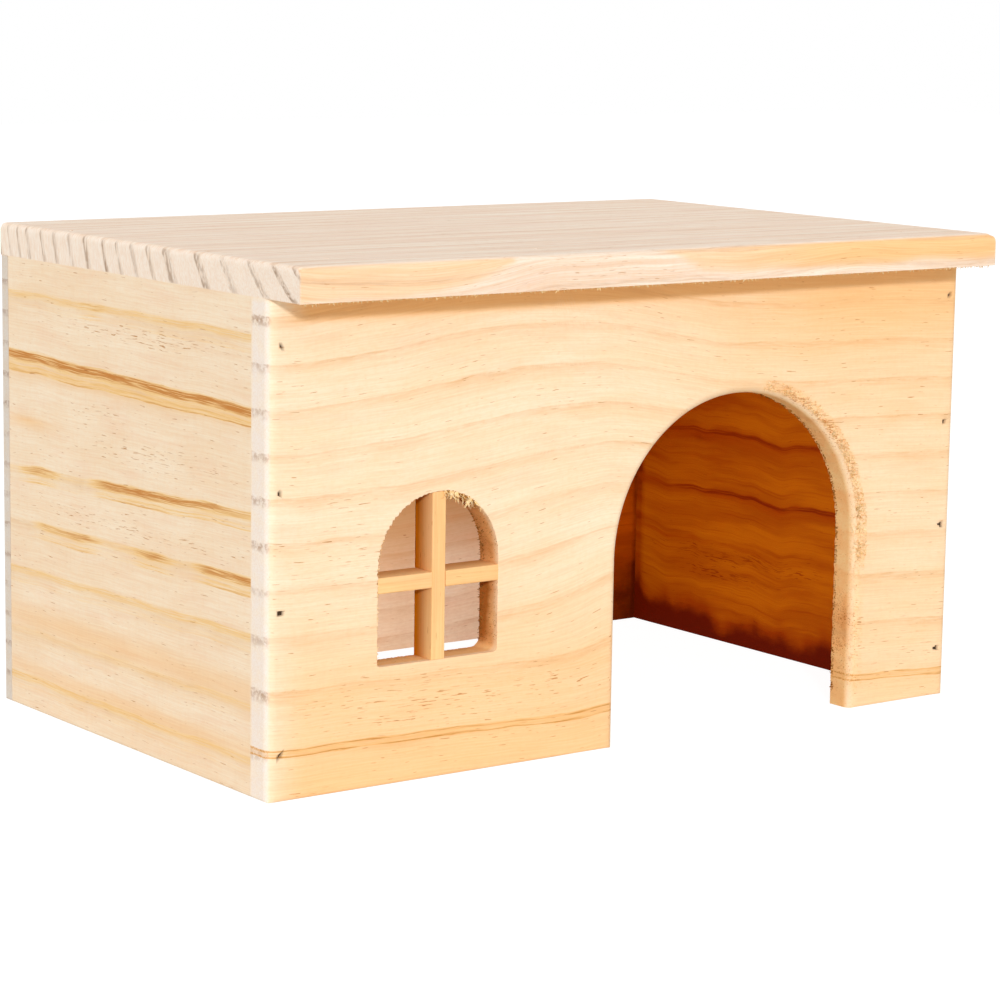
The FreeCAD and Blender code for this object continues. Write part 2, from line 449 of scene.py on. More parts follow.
class Grain(Enum):
    """Where a pine material reads the run of the grain from."""

    SURFACE = "attributes of a remodelled board"
    UPRIGHT = "object coordinates, fibres along Z"
    ACROSS = "object coordinates, fibres along X"


@dataclass
class Reading:
    """What the pine shader knows about the point it colours.

    Attributes:
        flow: Place along the fibres, across the rings and through the board, in millimetres.
        ring: Growth rings counted from the bottom, whole on a line of late wood.
        late: How strong the late wood shows there.
        offset: Distance above the nearest resin line in millimetres.
        end: One where the fibres are cut across.
        inner: One on wood that is turned to the room, whose deeper colour is partly the rougher wood and
            partly painted shade.
        hole: One in a brad hole.
        stain: Strength of the nearest resin line.
        pores: How many resin canals show.
        blush_and_shade: How much warmer the wood is there, and how much shade is painted into it.
    """

    flow: Value
    ring: Value
    late: Value = 0.8
    offset: Value = 99.0
    end: Value = 0.0
    inner: Value = 0.0
    hole: Value = 0.0
    stain: Value = 0.0
    pores: Value = 0.0
    blush_and_shade: Value = 0.0


@dataclass(frozen=True)
class Pine:
    """Planed and sanded pine without a finish.

    The eye sees pale cream early wood, a thin tan line of late wood that is soft below and
    crisp above, resin lines, and short fine dashes where resin canals are cut.
    """

    name: str
    early: str
    warm: str
    rose: str
    late: str
    blush_and_shade: str
    end: str
    end_late: str
    inner: str
    inner_late: str
    # Colour of the dark edges on inner faces, mostly painted shade.
    inner_dark: str = "#5A1204"
    inner_edge: float = 0.12
    stain: str = "#B5702A"
    stain_edge: str = "#D9A25C"
    pore: str = "#C9A070"
    hole_stain_and_shade: str = "#3A1E0A"
    late_strength: float = 0.4
    wash_strength: float = 0.3
    heart_rings: float = 0.6
    streak_strength: float = 0.07
    tone_strength: float = 0.6
    tone_size: tuple[float, float] = (45.0, 11.0)
    end_width: float = 0.17
    stain_profile: tuple[tuple[float, float], ...] = ((-0.9, 0.0), (0.0, 1.0), (0.7, 0.0))
    ring_pitch: float = 9.0
    roughness: float = 0.62
    gloss: float = 0.25
    bump: float = 0.22

    def material(self, grain: Grain = Grain.SURFACE) -> bpy.types.Material:
        """Builds the material.

        Args:
            grain: Where the run of the grain comes from.

        Returns:
            The material.
        """
        material = bpy.data.materials.new(self.name)
        wood = Shader(material)
        reading = self.read_board(wood) if grain is Grain.SURFACE else self.read_stick(wood, grain)
        fibre = wood.noise(reading.flow, 24, 0.5, 3, 7.7)
        turn, late_share = self.late_wood(wood, reading)
        colour = self.skin(wood, reading, turn, late_share)
        end_share = wood.product(reading.end, 0.9)
        colour = wood.mix(end_share, colour, self.end_grain(wood, reading, turn))
        colour = wood.mix(reading.inner, colour, self.heart(wood, reading, turn))
        colour = self.resin(wood, reading, colour)
        light = wood.between(fibre, 0.3, 0.7, 1 - self.streak_strength, 1 + self.streak_strength * 0.3)
        red, blue = wood.calc("POWER", light, 0.4), wood.calc("POWER", light, 1.6)
        tint = wood.add("CombineXYZ", {}, {0: red, 1: light, 2: blue})
        colour = wood.mix(1.0, colour, tint, "MULTIPLY")
        pores = self.canals(wood, reading)
        colour = wood.mix(wood.product(pores, 0.9), colour, linear(self.pore), "MULTIPLY")
        # The brad holes are darkened, partly by stain round the brads and partly by painted shade in the
        # holes.
        colour = wood.mix(wood.product(reading.hole, 0.9), colour, linear(self.hole_stain_and_shade))
        relief = wood.calc("MULTIPLY_ADD", fibre, 0.5, wood.product(pores, -0.35))
        relief = wood.calc("MULTIPLY_ADD", late_share, 0.5, relief)
        fuzz = wood.noise(reading.flow, 0.9, 0.45, 3)
        rough = wood.calc("MULTIPLY_ADD", reading.inner, 0.9, 0.12)
        relief = wood.calc("MULTIPLY_ADD", fuzz, rough, relief)
        normal = wood.add("Bump", {}, {"Height": relief, "Strength": self.bump, "Distance": 0.0004})
        sheen = wood.between(late_share, 0, 1, self.roughness, self.roughness - 0.1)
        gloss = wood.calc("MULTIPLY_ADD", reading.inner, -0.88 * self.gloss, self.gloss)
        wood.finish(wood.add("BsdfPrincipled", {}, {
            "Base Color": colour, "Roughness": sheen, "IOR": 1.45, "Specular IOR Level": gloss,
            "Normal": normal,
        }))
        return material

    def read_board(self, wood: Shader) -> Reading:
        """Reads what a remodelled board carries at its points.

        Args:
            wood: Node tree of the material.

        Returns:
            What the shader knows about the point.
        """
        flow = wood.add("Attribute", {"attribute_name": "flow"}, output="Vector")
        parts = []
        for name in ("rings", "sides", "marks"):
            parts += wood.split(wood.add("Attribute", {"attribute_name": name}, output="Vector"))
        return Reading(flow, *parts)

    def read_stick(self, wood: Shader, grain: Grain) -> Reading:
        """Works the run of the grain out from object coordinates, for a straight stick.

        Args:
            wood: Node tree of the material.
            grain: Which way the fibres of the stick run.

        Returns:
            What the shader knows about the point.
        """
        metres = wood.add("TexCoord", output="Object")
        place = wood.add("VectorMath", {"operation": "SCALE"}, {0: metres, "Scale": 1 / MM})
        across, depth, height = wood.split(place)
        order = (height, across, depth) if grain is Grain.UPRIGHT else (across, height, depth)
        flow = wood.add("CombineXYZ", {}, dict(enumerate(order)))
        low, high = node_box("window_bar_upright")
        deepest = 1.0 if grain is Grain.UPRIGHT else 0.5
        # painted shade: the bars darken towards the back of the window, where the opening shades them
        inner = wood.between(depth, float(low[1]) + 0.3, float(high[1]) - 1.0, 0.0, deepest)
        return Reading(flow, wood.calc("DIVIDE", order[1], self.ring_pitch), inner=inner)

    def late_wood(self, wood: Shader, reading: Reading) -> tuple[Socket, Socket]:
        """Share of late wood: a band that grows softly and stops at the ring's end.

        Args:
            wood: Node tree of the material.
            reading: What the shader knows about the point.

        Returns:
            Place within the ring from 0 to 1, and the share of late wood.
        """
        wobble = wood.calc("MULTIPLY_ADD", wood.noise(reading.flow, 26, 4, 3, 1.9), 0.16, reading.ring)
        turn = wood.calc("FRACT", wood.calc("SUBTRACT", wobble, 0.08))
        profile = wood.ramp(turn, (
            (0.0, 0.6), (0.03, 0.15), (0.07, 0.0), (0.77, 0.0), (0.86, 0.4), (0.93, 0.85), (0.985, 1.0),
        ))
        broken = wood.between(wood.noise(reading.flow, 7, 0.8, 3, 5.5), 0.34, 0.64, 0.2, 1.0)
        return turn, wood.product(profile, broken, reading.late, self.late_strength)

    def skin(self, wood: Shader, reading: Reading, turn: Socket, late_share: Socket) -> Socket:
        """Colour of a planed face: cream, with warm patches, a wash below each ring and its line.

        Args:
            wood: Node tree of the material.
            reading: What the shader knows about the point.
            turn: Place within the ring, from 0 to 1.
            late_share: Share of late wood.

        Returns:
            The colour.
        """
        patch = wood.between(wood.noise(reading.flow, *self.tone_size, 3, 3.1), 0.35, 0.68)
        patch = wood.product(patch, self.tone_strength)
        colour = wood.mix(patch, linear(self.early), linear(self.warm))
        rosy = wood.between(wood.noise(reading.flow, 26, 6, 3, 15.0), 0.45, 0.75, 0.0, 0.4)
        colour = wood.mix(rosy, colour, linear(self.rose))
        # The warm blush colour here also paints the shadow band under the roof.
        colour = wood.mix(reading.blush_and_shade, colour, linear(self.blush_and_shade))
        wash = wood.ramp(turn, ((0.0, 0.15), (0.1, 0.0), (0.55, 0.0), (0.78, 0.75), (0.98, 1.0)))
        cloudy = wood.between(wood.noise(reading.flow, 22, 3, 3, 8.8), 0.35, 0.65, 0.15, 1.0)
        wash = wood.product(wash, cloudy, reading.late, self.wash_strength)
        colour = wood.mix(wash, colour, wood.mix(0.55, linear(self.blush_and_shade), linear(self.late)))
        knives = wood.noise(reading.flow, 1.6, 9, 2, 6.1)
        colour = wood.mix(wood.between(knives, 0.45, 0.72, 0.0, 0.04), colour, linear(self.late))
        specks = wood.noise(reading.flow, 2.4, 0.9, 3, 13.0)
        colour = wood.mix(wood.between(specks, 0.42, 0.66, 0.0, 0.12), colour, linear(self.blush_and_shade))
        return wood.mix(late_share, colour, linear(self.late))

    def end_grain(self, wood: Shader, reading: Reading, turn: Socket) -> Socket:
        """Colour of wood cut across its fibres: greyer, with each ring as a dark bar.

        Args:
            wood: Node tree of the material.
            reading: What the shader knows about the point.
            turn: Place within the ring, from 0 to 1.

        Returns:
            The colour.
        """
        width = self.end_width
        bar = wood.ramp(turn, (
            (0.0, 0.5), (0.03, 0.0), (0.97 - 1.2 * width, 0.0), (0.97 - 0.8 * width, 0.55),
            (0.97 - 0.3 * width, 1.0), (0.97, 0.85),
        ))
        grit = wood.between(wood.noise(reading.flow, 1.6, 1.6, 3, 4.2), 0.35, 0.62, 0.15, 1.0)
        share = wood.product(bar, grit, reading.late)
        blotch = wood.between(wood.noise(reading.flow, 3, 6, 2, 12.0), 0.35, 0.7, 0.0, 0.35)
        return wood.mix(share, wood.mix(blotch, linear(self.end), linear(self.early)), linear(self.end_late))

    def heart(self, wood: Shader, reading: Reading, turn: Socket) -> Socket:
        """Colour of a face turned to the room: deeper, partly rougher wood and partly painted shade of the
        dim room, with soft bands, streaks, and dark edges that are painted shade in corners and at feet and
        marks on the door's jamb.

        Args:
            wood: Node tree of the material.
            reading: What the shader knows about the point.
            turn: Place within the ring, from 0 to 1.

        Returns:
            The colour.
        """
        patch = wood.between(wood.noise(reading.flow, 55, 8, 3, 11.3), 0.35, 0.65, 0.0, 0.5)
        patch = wood.calc("MULTIPLY_ADD", reading.blush_and_shade, 2.0, patch)
        colour = wood.mix(patch, linear(self.inner), linear(self.inner_late))
        band = wood.ramp(turn, ((0.0, 0.8), (0.06, 0.3), (0.2, 0.0), (0.6, 0.0), (0.88, 0.55), (0.985, 1.0)))
        cloudy = wood.between(wood.noise(reading.flow, 30, 3, 3, 6.6), 0.35, 0.6, 0.1, 1.0)
        strand = wood.between(wood.noise(reading.flow, 45, 0.9, 3, 4.4), 0.52, 0.74, 0.0, 0.5)
        share = wood.calc("MAXIMUM", wood.product(band, cloudy, self.heart_rings), strand)
        colour = wood.mix(share, colour, linear(self.inner_late))
        # painted shade: where the mask of warmth and shade is high, the dark edge colour darkens corners and
        # feet
        spread = wood.calc("MULTIPLY_ADD", wood.noise(reading.flow, 12, 7, 4, 2.9), 0.7, -0.35)
        edge = wood.calc("ADD", spread, reading.blush_and_shade)
        dark_marks_and_shade = wood.between(edge, 0.5 - self.inner_edge, 0.5 + self.inner_edge, 0.0, 0.86)
        return wood.mix(dark_marks_and_shade, colour, linear(self.inner_dark))

    def resin(self, wood: Shader, reading: Reading, colour: Socket) -> Socket:
        """Lays the resin lines over a colour: a stained edge and a streaky brown core.

        Args:
            wood: Node tree of the material.
            reading: What the shader knows about the point.
            colour: Colour of the wood.

        Returns:
            The colour with the lines on it.
        """
        span = 7.0
        stops = tuple((0.5 + place / (2 * span), height) for place, height in self.stain_profile)
        spread = wood.calc("MULTIPLY_ADD", wood.noise(reading.flow, 11, 0.8, 3, 2.2), 1.2, -0.6)
        place = wood.calc("MULTIPLY_ADD", wood.calc("ADD", reading.offset, spread), 1 / (2 * span), 0.5)
        share = wood.ramp(place, ((0.0, 0.0),) + stops + ((1.0, 0.0),))
        streaky = wood.between(wood.noise(reading.flow, 16, 0.45, 3, 9.4), 0.32, 0.58, 0.38, 1.0)
        share = wood.product(share, streaky, reading.stain)
        edge = wood.mix(0.7, colour, linear(self.stain_edge))
        colour = wood.mix(wood.between(share, 0, 0.4), colour, edge)
        return wood.mix(wood.between(share, 0.2, 0.95), colour, linear(self.stain))

    def canals(self, wood: Shader, reading: Reading) -> Socket:
        """Resin canals cut along their length: fine dashes that crowd where pores is high.

        Args:
            wood: Node tree of the material.
            reading: What the shader knows about the point.

        Returns:
            How strongly a canal shows.
        """
        dash = wood.noise(reading.flow, 6.5, 0.5, 1, 21.0)
        least = wood.calc("MULTIPLY_ADD", reading.pores, -0.11, 0.725)
        line = wood.between(wood.calc("SUBTRACT", dash, least), 0.0, 0.04)
        fade = wood.between(wood.noise(reading.flow, 26, 5, 2, 17.0), 0.35, 0.6, 0.2, 1.0)
        return wood.product(line, fade, wood.calc("SUBTRACT", 1.0, reading.end))


@dataclass(frozen=True)
class FlatWire:
    """Flat steel wire, cut, gummed and punched in: dull grey under a brown film of gum.

    The eye sees a small dull head at the bottom of a dark hole.
    """

    name: str = "brad_flat_steel_wire"
    steel: str = "#54402A"
    gum: str = "#33200F"
    roughness: float = 0.6
    grit: float = 0.35

    def material(self) -> bpy.types.Material:
        """Builds the material.

        Returns:
            The material.
        """
        material = bpy.data.materials.new(self.name)
        wire = Shader(material)
        place = wire.add("TexCoord", output="Object")
        grains = wire.add("TexNoise", {}, {"Vector": place, "Scale": 1 / (self.grit * MM), "Detail": 3.0})
        share = wire.between(grains, 0.35, 0.6)
        colour = wire.mix(share, linear(self.steel), linear(self.gum))
        rough = wire.between(share, 0, 1, self.roughness, self.roughness + 0.3)
        metal = wire.between(share, 0, 1, 0.5, 0.0)
        normal = wire.add("Bump", {}, {"Height": grains, "Strength": 0.3, "Distance": 0.0001})
        wire.finish(wire.add("BsdfPrincipled", {}, {
            "Base Color": colour, "Metallic": metal, "Roughness": rough, "Normal": normal,
        }))
        return material


@dataclass(frozen=True)
class Streak:
    """A resin line in the wood, at one height of the grain.

    Attributes:
        height: Height in the grain, in millimetres.
        run: Places along the fibres with the line's strength there.
    """

    height: float
    run: tuple[tuple[float, float], ...] = ((0.0, 1.0),)


@dataclass(frozen=True)
class Patch:
    """A soft patch on a board, strongest at its middle.

    Attributes:
        middle: Its place along the fibres and its height.
        reach: How far it reaches both ways.
        strength: Its strength at the middle.
    """

    middle: tuple[float, float]
    reach: tuple[float, float]
    strength: float

    def at(self, along: np.ndarray, height: np.ndarray) -> np.ndarray:
        """Strength at each point: a bell curve of the two distances over the two reaches.

        Args:
            along: Place along the fibres.
            height: Height above the floor.

        Returns:
            The strength.
        """
        first = (along - self.middle[0]) / self.reach[0]
        second = (height - self.middle[1]) / self.reach[1]
        return self.strength * np.exp(-first ** 2 - second ** 2)


@dataclass
class Board:
    """One pine board: its place from the frame, its edges, its grain and its brad holes.

    Attributes:
        node: Node of the frame that it replaces.
        finish: Its pine.
        slot: Material slot of the record.
        fibre_axis: Axis along which its fibres run.
        pitch: Distance between the lines of its grid.
        hole_reach: Radius of a brad hole.
        hole_depth: Depth of a brad hole.
        ring_heights: Heights in the grain at which a growth ring ends.
        streaks: Its resin lines.
        streak_reach: How far a resin line colours the wood.
        outer_fade: How much the resin lines fade on the outer face.
        pore_level: How many resin canals show all over it.
        pore_patches: Where more of them show.
        blush_patches: Where the wood is warmer.
    """

    node: str
    finish: Pine
    # slot: Material slot of the record; not used.
    slot: str
    fibre_axis: int = 0
    pitch: float = 2.0
    hole_reach: float = 0.95
    hole_depth: float = 1.0
    ring_heights: tuple[float, ...] = ()
    streaks: tuple[Streak, ...] = ()
    streak_reach: float = 6.8
    outer_fade: float = 0.0
    pore_level: float = 0.35
    pore_patches: tuple[Patch, ...] = ()
    blush_patches: tuple[Patch, ...] = ()

    def __post_init__(self) -> None:
        """Takes the board's place from the frame."""
        self.low, self.high = node_box(self.node)

    def rounds(self) -> list[tuple]:
        """Quarter-rounds as their axes, corner, outward signs and radius."""
        return []

    def grain_height(self, points: np.ndarray) -> np.ndarray:
        """Height of each point in the grain, in which the growth rings are level."""
        return points[:, 2].copy()

    def late_strength(self, points: np.ndarray, ring: np.ndarray) -> np.ndarray:
        """How strongly the late wood shows at each point."""
        along = points[:, self.fibre_axis]
        return 0.7 + 0.3 * ripple(along + 37 * np.floor(ring), 5, 160)

    def innerness(self, points: np.ndarray) -> np.ndarray:
        """How far each point is turned to the room, from 0 to 1."""
        return np.zeros(len(points))

    def warmth_and_shade(self, points: np.ndarray) -> np.ndarray:
        """How much warmer the wood is at each point, before the patches, with painted shade where a board has
        it.
        """
        return np.zeros(len(points))

    def torn(self, points: np.ndarray) -> np.ndarray:
        """How much more the cutter tore the fibres at each point, added to its resin canals."""
        return np.zeros(len(points))

    def cut_across(self, points: np.ndarray, normals: np.ndarray) -> np.ndarray:
        """How squarely the fibres are cut at each point, from 0 to 1."""
        return smooth(0.5, 0.95, np.abs(normals[:, self.fibre_axis]))

    def holes(self) -> list[tuple[np.ndarray, int, int]]:
        """Brad holes as their centre on the face, the face's axis and the way in."""
        return []

    def lines(self) -> list[np.ndarray]:
        """Places of the grid's lines along X, Y and Z.

        Returns:
            Three arrays, closer at the edges and the holes.
        """
        places = []
        for axis in range(3):
            fine = [(self.low[axis], 3.6, 0.6), (self.high[axis], 3.6, 0.6)]
            spots = {round(float(centre[axis]), 3) for centre, face, _ in self.holes() if face != axis}
            fine += [(spot, 1.8, 0.24) for spot in sorted(spots)]
            places.append(stations(self.low[axis], self.high[axis], self.pitch, tuple(fine)))
        return places

    def surface(self) -> Surface:
        """Skin of the board before its edges are rounded."""
        return box_surface(self.lines())

    def shape(self, points: np.ndarray) -> np.ndarray:
        """Rounds the edges and sinks the brad holes.

        A hole's depth falls off over its ragged rim as a smooth step of the distance from its
        centre, which a wave round the hole makes uneven.

        Args:
            points: Points of the skin, changed in place.

        Returns:
            How deep each point lies in a hole, from 0 to 1.
        """
        sunk = np.zeros(len(points))
        for number, (centre, axis, inward) in enumerate(self.holes()):
            offsets = points - centre
            on_face = np.abs(offsets[:, axis]) < ON_FACE
            offsets[:, axis] = 0
            distance = np.linalg.norm(offsets, axis=1)
            first, second = [other for other in range(3) if other != axis]
            angle = np.arctan2(offsets[:, second], offsets[:, first])
            ragged = 1 + 0.16 * np.sin(3 * angle + number) + 0.1 * np.sin(7 * angle + 2 * number)
            share = 1 - smooth(0.86, 1.12, distance / (self.hole_reach * ragged))
            share = np.where(on_face, share, 0)
            points[:, axis] += inward * self.hole_depth * share
            sunk = np.maximum(sunk, share)
        for axes, corner, outward, radius in self.rounds():
            round_corner(points, axes, corner, outward, radius)
        return sunk

    def streak_marks(self, height: np.ndarray, along: np.ndarray) -> tuple[np.ndarray, np.ndarray]:
        """Distance above the nearest resin line, and that line's strength.

        Args:
            height: Height of each point in the grain.
            along: Place of each point along the fibres.

        Returns:
            The distance in millimetres, and the strength from 0 to 1.
        """
        if not self.streaks:
            return np.full(len(height), 99.0), np.zeros(len(height))
        offsets = np.stack([height - streak.height for streak in self.streaks])
        nearest = np.abs(offsets).argmin(axis=0)
        strengths = np.stack([np.interp(along, *zip(*streak.run)) for streak in self.streaks])
        columns = np.arange(len(height))
        offset = offsets[nearest, columns]
        near = 1 - smooth(self.streak_reach - 1.5, self.streak_reach, np.abs(offset))
        return offset, strengths[nearest, columns] * near

    def build(self) -> bpy.types.Object:
        """Makes the board, writes its grain and dresses it.

        Returns:
            The finished piece.
        """
        points, faces = self.surface().weld()
        height = self.grain_height(points)
        ring = np.interp(height, self.ring_heights, np.arange(len(self.ring_heights)))
        along = points[:, self.fibre_axis].copy()
        depth = points[:, 1 - self.fibre_axis].copy()
        late = self.late_strength(points, ring)
        offset, stain = self.streak_marks(height, along)
        inner = self.innerness(points)
        stain = stain * (1 - self.outer_fade * (1 - inner))
        pores = self.pore_level + self.torn(points)
        pores += sum(patch.at(along, points[:, 2]) for patch in self.pore_patches)
        patches = sum(patch.at(along, points[:, 2]) for patch in self.blush_patches)
        blush_and_shade = self.warmth_and_shade(points) + patches * (1 - inner)
        sunk = self.shape(points)
        obj = make_object(self.node + "_pine", points, faces)
        end = self.cut_across(points, point_normals(obj.data)) * (1 - sunk)
        write_vectors(obj.data, "flow", [along, height, depth])
        write_vectors(obj.data, "rings", [ring, late, offset])
        write_vectors(obj.data, "sides", [end, inner, sunk])
        write_vectors(obj.data, "marks", [stain, pores, np.clip(blush_and_shade, 0, 1)])
        obj.data.materials.append(self.finish.material())
        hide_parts(self.node)
        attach(obj, BODY)
        log.info("%s: %d points, %d faces", obj.name, len(points), len(faces))
        return obj


@dataclass
class BradRow:
    """A row of brads whose places come from the box of their node."""

    node: str
    head_width: float = 2.0
    middle_gap: float = 39.0

    def up_the_wall(self) -> list[float]:
        """Heights of four brads: one at each end of the row and two about its middle.

        Returns:
            The heights.
        """
        low, high = node_box(self.node)
        first = low[2] + self.head_width / 2
        last = high[2] - self.head_width / 2
        middle = (first + last) / 2
        return [first, middle - self.middle_gap / 2, middle + self.middle_gap / 2, last]

    def evenly(self, axis: int, count: int) -> list[float]:
        """Even places along the roof."""
        low, high = node_box(self.node)
        return list(np.linspace(low[axis] + self.head_width / 2, high[axis] - self.head_width / 2, count))

    def middle(self, axis: int) -> float:
        """Middle of the row across its length."""
        low, high = node_box(self.node)
        return float((low[axis] + high[axis]) / 2)


@dataclass
class Opening:
    """Outline of an opening, in X and Z, with a point inside it from which all of it is seen."""

    centre: np.ndarray
    outline: np.ndarray

    def towards(self, targets: np.ndarray) -> np.ndarray:
        """Points of the outline that lie on the rays from the centre to the targets.

        Args:
            targets: Points in X and Z.

        Returns:
            One point of the outline per target.
        """
        spokes = self.outline - self.centre
        angles = np.unwrap(np.arctan2(spokes[:, 1], spokes[:, 0]))
        aims = targets - self.centre
        wanted = np.arctan2(aims[:, 1], aims[:, 0])
        wanted = angles[0] + np.mod(wanted - angles[0], 2 * math.pi)
        x = np.interp(wanted, angles, self.outline[:, 0])
        z = np.interp(wanted, angles, self.outline[:, 1])
        return np.stack([x, z], axis=1)


def arc(middle: tuple[float, float], radius: float, start: float, stop: float, count: int) -> np.ndarray:
    """Points of an arc between two angles in turns, against the clock."""
    turn = 2 * math.pi * np.linspace(start, stop, count)
    return np.stack([middle[0] + radius * np.cos(turn), middle[1] + radius * np.sin(turn)], axis=1)


def level(flat: np.ndarray, y: float) -> np.ndarray:
    """Points in X and Z, set at one depth."""
    return np.stack([flat[:, 0], np.full(len(flat), y), flat[:, 1]], axis=1)


def run(x: np.ndarray | float, z: np.ndarray | float) -> np.ndarray:
    """Points in X and Z from two arrays or an array and a number."""
    return np.stack(np.broadcast_arrays(x, z), axis=1).astype(float)


@dataclass
class LongPanel(Board):
    """Front or back panel, which runs the whole length and is nailed to both side boards.

    Attributes:
        corner_round: Radius of the two upright corners.
        foot_round: Radius of the edges that stand on the floor.
        outward: Sign in Y of the way out of the house.
        brads: Nodes of the brads up its left and right ends.
    """

    corner_round: float = 3.0
    foot_round: float = 0.8
    outward: int = -1
    brads: tuple[str, str] = ("front_left_brads", "front_right_brads")

    def outer_face(self) -> float:
        """Place in Y of the face that is turned out of the house."""
        return self.low[1] if self.outward < 0 else self.high[1]

    def rounds(self) -> list[tuple]:
        """Outer corners and the foot.

        Returns:
            Their axes, corner, outward signs and radius.
        """
        left, right, outer = self.low[0], self.high[0], self.outer_face()
        return [
            ((0, 1), (left, outer), (-1, self.outward), self.corner_round),
            ((0, 1), (right, outer), (1, self.outward), self.corner_round),
            ((1, 2), (outer, 0.0), (self.outward, -1), self.foot_round),
            ((0, 2), (left, 0.0), (-1, -1), self.foot_round),
            ((0, 2), (right, 0.0), (1, -1), self.foot_round),
        ]

    def holes(self) -> list[tuple[np.ndarray, int, int]]:
        """Four brads up each end.

        Returns:
            Their centres on the face, the face's axis and the way in.
        """
        spots = []
        for node in self.brads:
            row = BradRow(node)
            for height in row.up_the_wall():
                spots.append((np.array([row.middle(0), self.outer_face(), height]), 1, -self.outward))
        return spots


@dataclass
class FrontPanel(LongPanel):
    """Front board with the rolled doorway and the little window cut through it."""

    door_margin: float = 48.0
    door_width: float = 110.0
    door_spring: float = 65.5
    door_roll: float = 3.5
    window_margin: float = 42.2
    window_width: float = 48.6
    window_sill: float = 40.0
    window_spring: float = 72.2
    window_corner: float = 3.5
    window_front_corner: float = 1.2
    window_ease: float = 0.3
    parting: float = 116.0
    face_rows: int = 46

    def away_from_ends(self, points: np.ndarray) -> np.ndarray:
        """One past the ends of the panel, where only the openings cut the fibres."""
        return smooth(8, 14, points[:, 0] - self.low[0]) * smooth(8, 14, self.high[0] - points[:, 0])

    def cut_across(self, points: np.ndarray, normals: np.ndarray) -> np.ndarray:
        """As for any board, but the rolled openings don't look like end grain."""
        return super().cut_across(points, normals) * (1 - self.away_from_ends(points))

    def depth_share(self, points: np.ndarray) -> np.ndarray:
        """How deep each point lies in the board, from 0 on its face to 1 on its back."""
        return (points[:, 1] - self.low[1]) / (self.high[1] - self.low[1])

    def window_middle(self) -> float:
        """Place in X of the middle of the window."""
        return self.low[0] + self.window_margin + self.window_width / 2

    def in_window(self, points: np.ndarray) -> np.ndarray:
        """One about the window and zero elsewhere."""
        return (np.abs(points[:, 0] - self.window_middle()) < self.window_width / 2 + 6).astype(float)

    def door_distance(self, points: np.ndarray) -> tuple[np.ndarray, np.ndarray]:
        """Distance outside the doorway on its right, and the angle up its arch in degrees.

        Args:
            points: Points of the skin, in millimetres.

        Returns:
            The distance, which is large left of the middle, and the angle.
        """
        door = self.door_opening()
        x = points[:, 0] - door.centre[0]
        z = np.maximum(points[:, 2] - door.centre[1], 0)
        distance = np.hypot(x, z) - self.door_width / 2
        return np.where(x > 0, distance, 99.0), np.degrees(np.arctan2(z, x))

    def innerness(self, points: np.ndarray) -> np.ndarray:
        """Deepens from the face to the back of the board, in the openings only."""
        share = self.depth_share(points)
        return smooth(0.04, 0.36, share) * self.away_from_ends(points)

    def warmth_and_shade(self, points: np.ndarray) -> np.ndarray:
        """Golden to the foot and the right; painted shadow in a band under the roof; warmer in the window's
        jamb, with painted shade deep at its back low down.

        Args:
            points: Points of the skin, in millimetres.

        Returns:
            How much warmer the wood is at each point.
        """
        x = points[:, 0] - self.low[0]
        z = points[:, 2]
        share = self.depth_share(points)
        foot = 0.46 * (1 - smooth(22, 78, z)) + 0.12 * (1 - smooth(4, 24, z))
        foot = foot * (1 - 0.4 * smooth(225, 262, x))
        side = 0.3 * smooth(150, 250, x) * smooth(122, 152, z) + 0.2 * smooth(150, 270, x) * smooth(20, 90, z)
        side += 0.14 * smooth(100, 190, x) * smooth(84, 124, z)
        # painted shadow: a warm dark band where the roof's overhang shades the front
        painted_roof_shadow = 0.9 * smooth(153.0, 157.3, z) * smooth(2, 16, x)
        face = np.maximum((0.1 + foot + side) * smooth(-6, 16, x), painted_roof_shadow)
        face += 0.12 * np.clip(self.torn(points), 0, 1)
        # painted shade: deep in the window's jamb, low down below the cross bar, the wood is darkened
        deep = smooth(0.3, 0.95, share)
        low = 1 - smooth(61, 67, z)
        base = 0.12 + 0.26 * smooth(40.2, 43, z) + 0.4 * smooth(87, 93, z)
        window = self.in_window(points) * (base + deep * (0.15 + 0.85 * low * smooth(40, 56, z)))
        rough = (1 - self.in_window(points)) * (0.04 + 0.24 * np.exp(-((z - 30) / 16) ** 2))
        within = smooth(0.02, 0.16, share)
        return face * (1 - within) + (window + rough) * within

    def torn(self, points: np.ndarray) -> np.ndarray:
        """Torn where the roll meets the face, most of all up the right of the arch.

        Args:
            points: Points of the skin, in millimetres.

        Returns:
            How much more the cutter tore at each point.
        """
        distance, turn = self.door_distance(points)
        band = smooth(-0.5, 2.0, distance) * (1 - smooth(3.8, 6.5, distance))
        height = points[:, 2]
        arch = smooth(8, 25, turn) * (1 - smooth(70, 84, turn))
        jamb = (turn < 0.5) * (0.55 + 0.45 * ripple(height, 44, 30)) * smooth(4, 12, height)
        inside = smooth(0.1, 0.4, self.depth_share(points)) * (distance < 6)
        marks = 0.2 + 0.9 * np.exp(-((height - 30) / 14) ** 2)
        return band * (1.6 * arch + 0.9 * np.maximum(jamb, 0)) + inside * marks

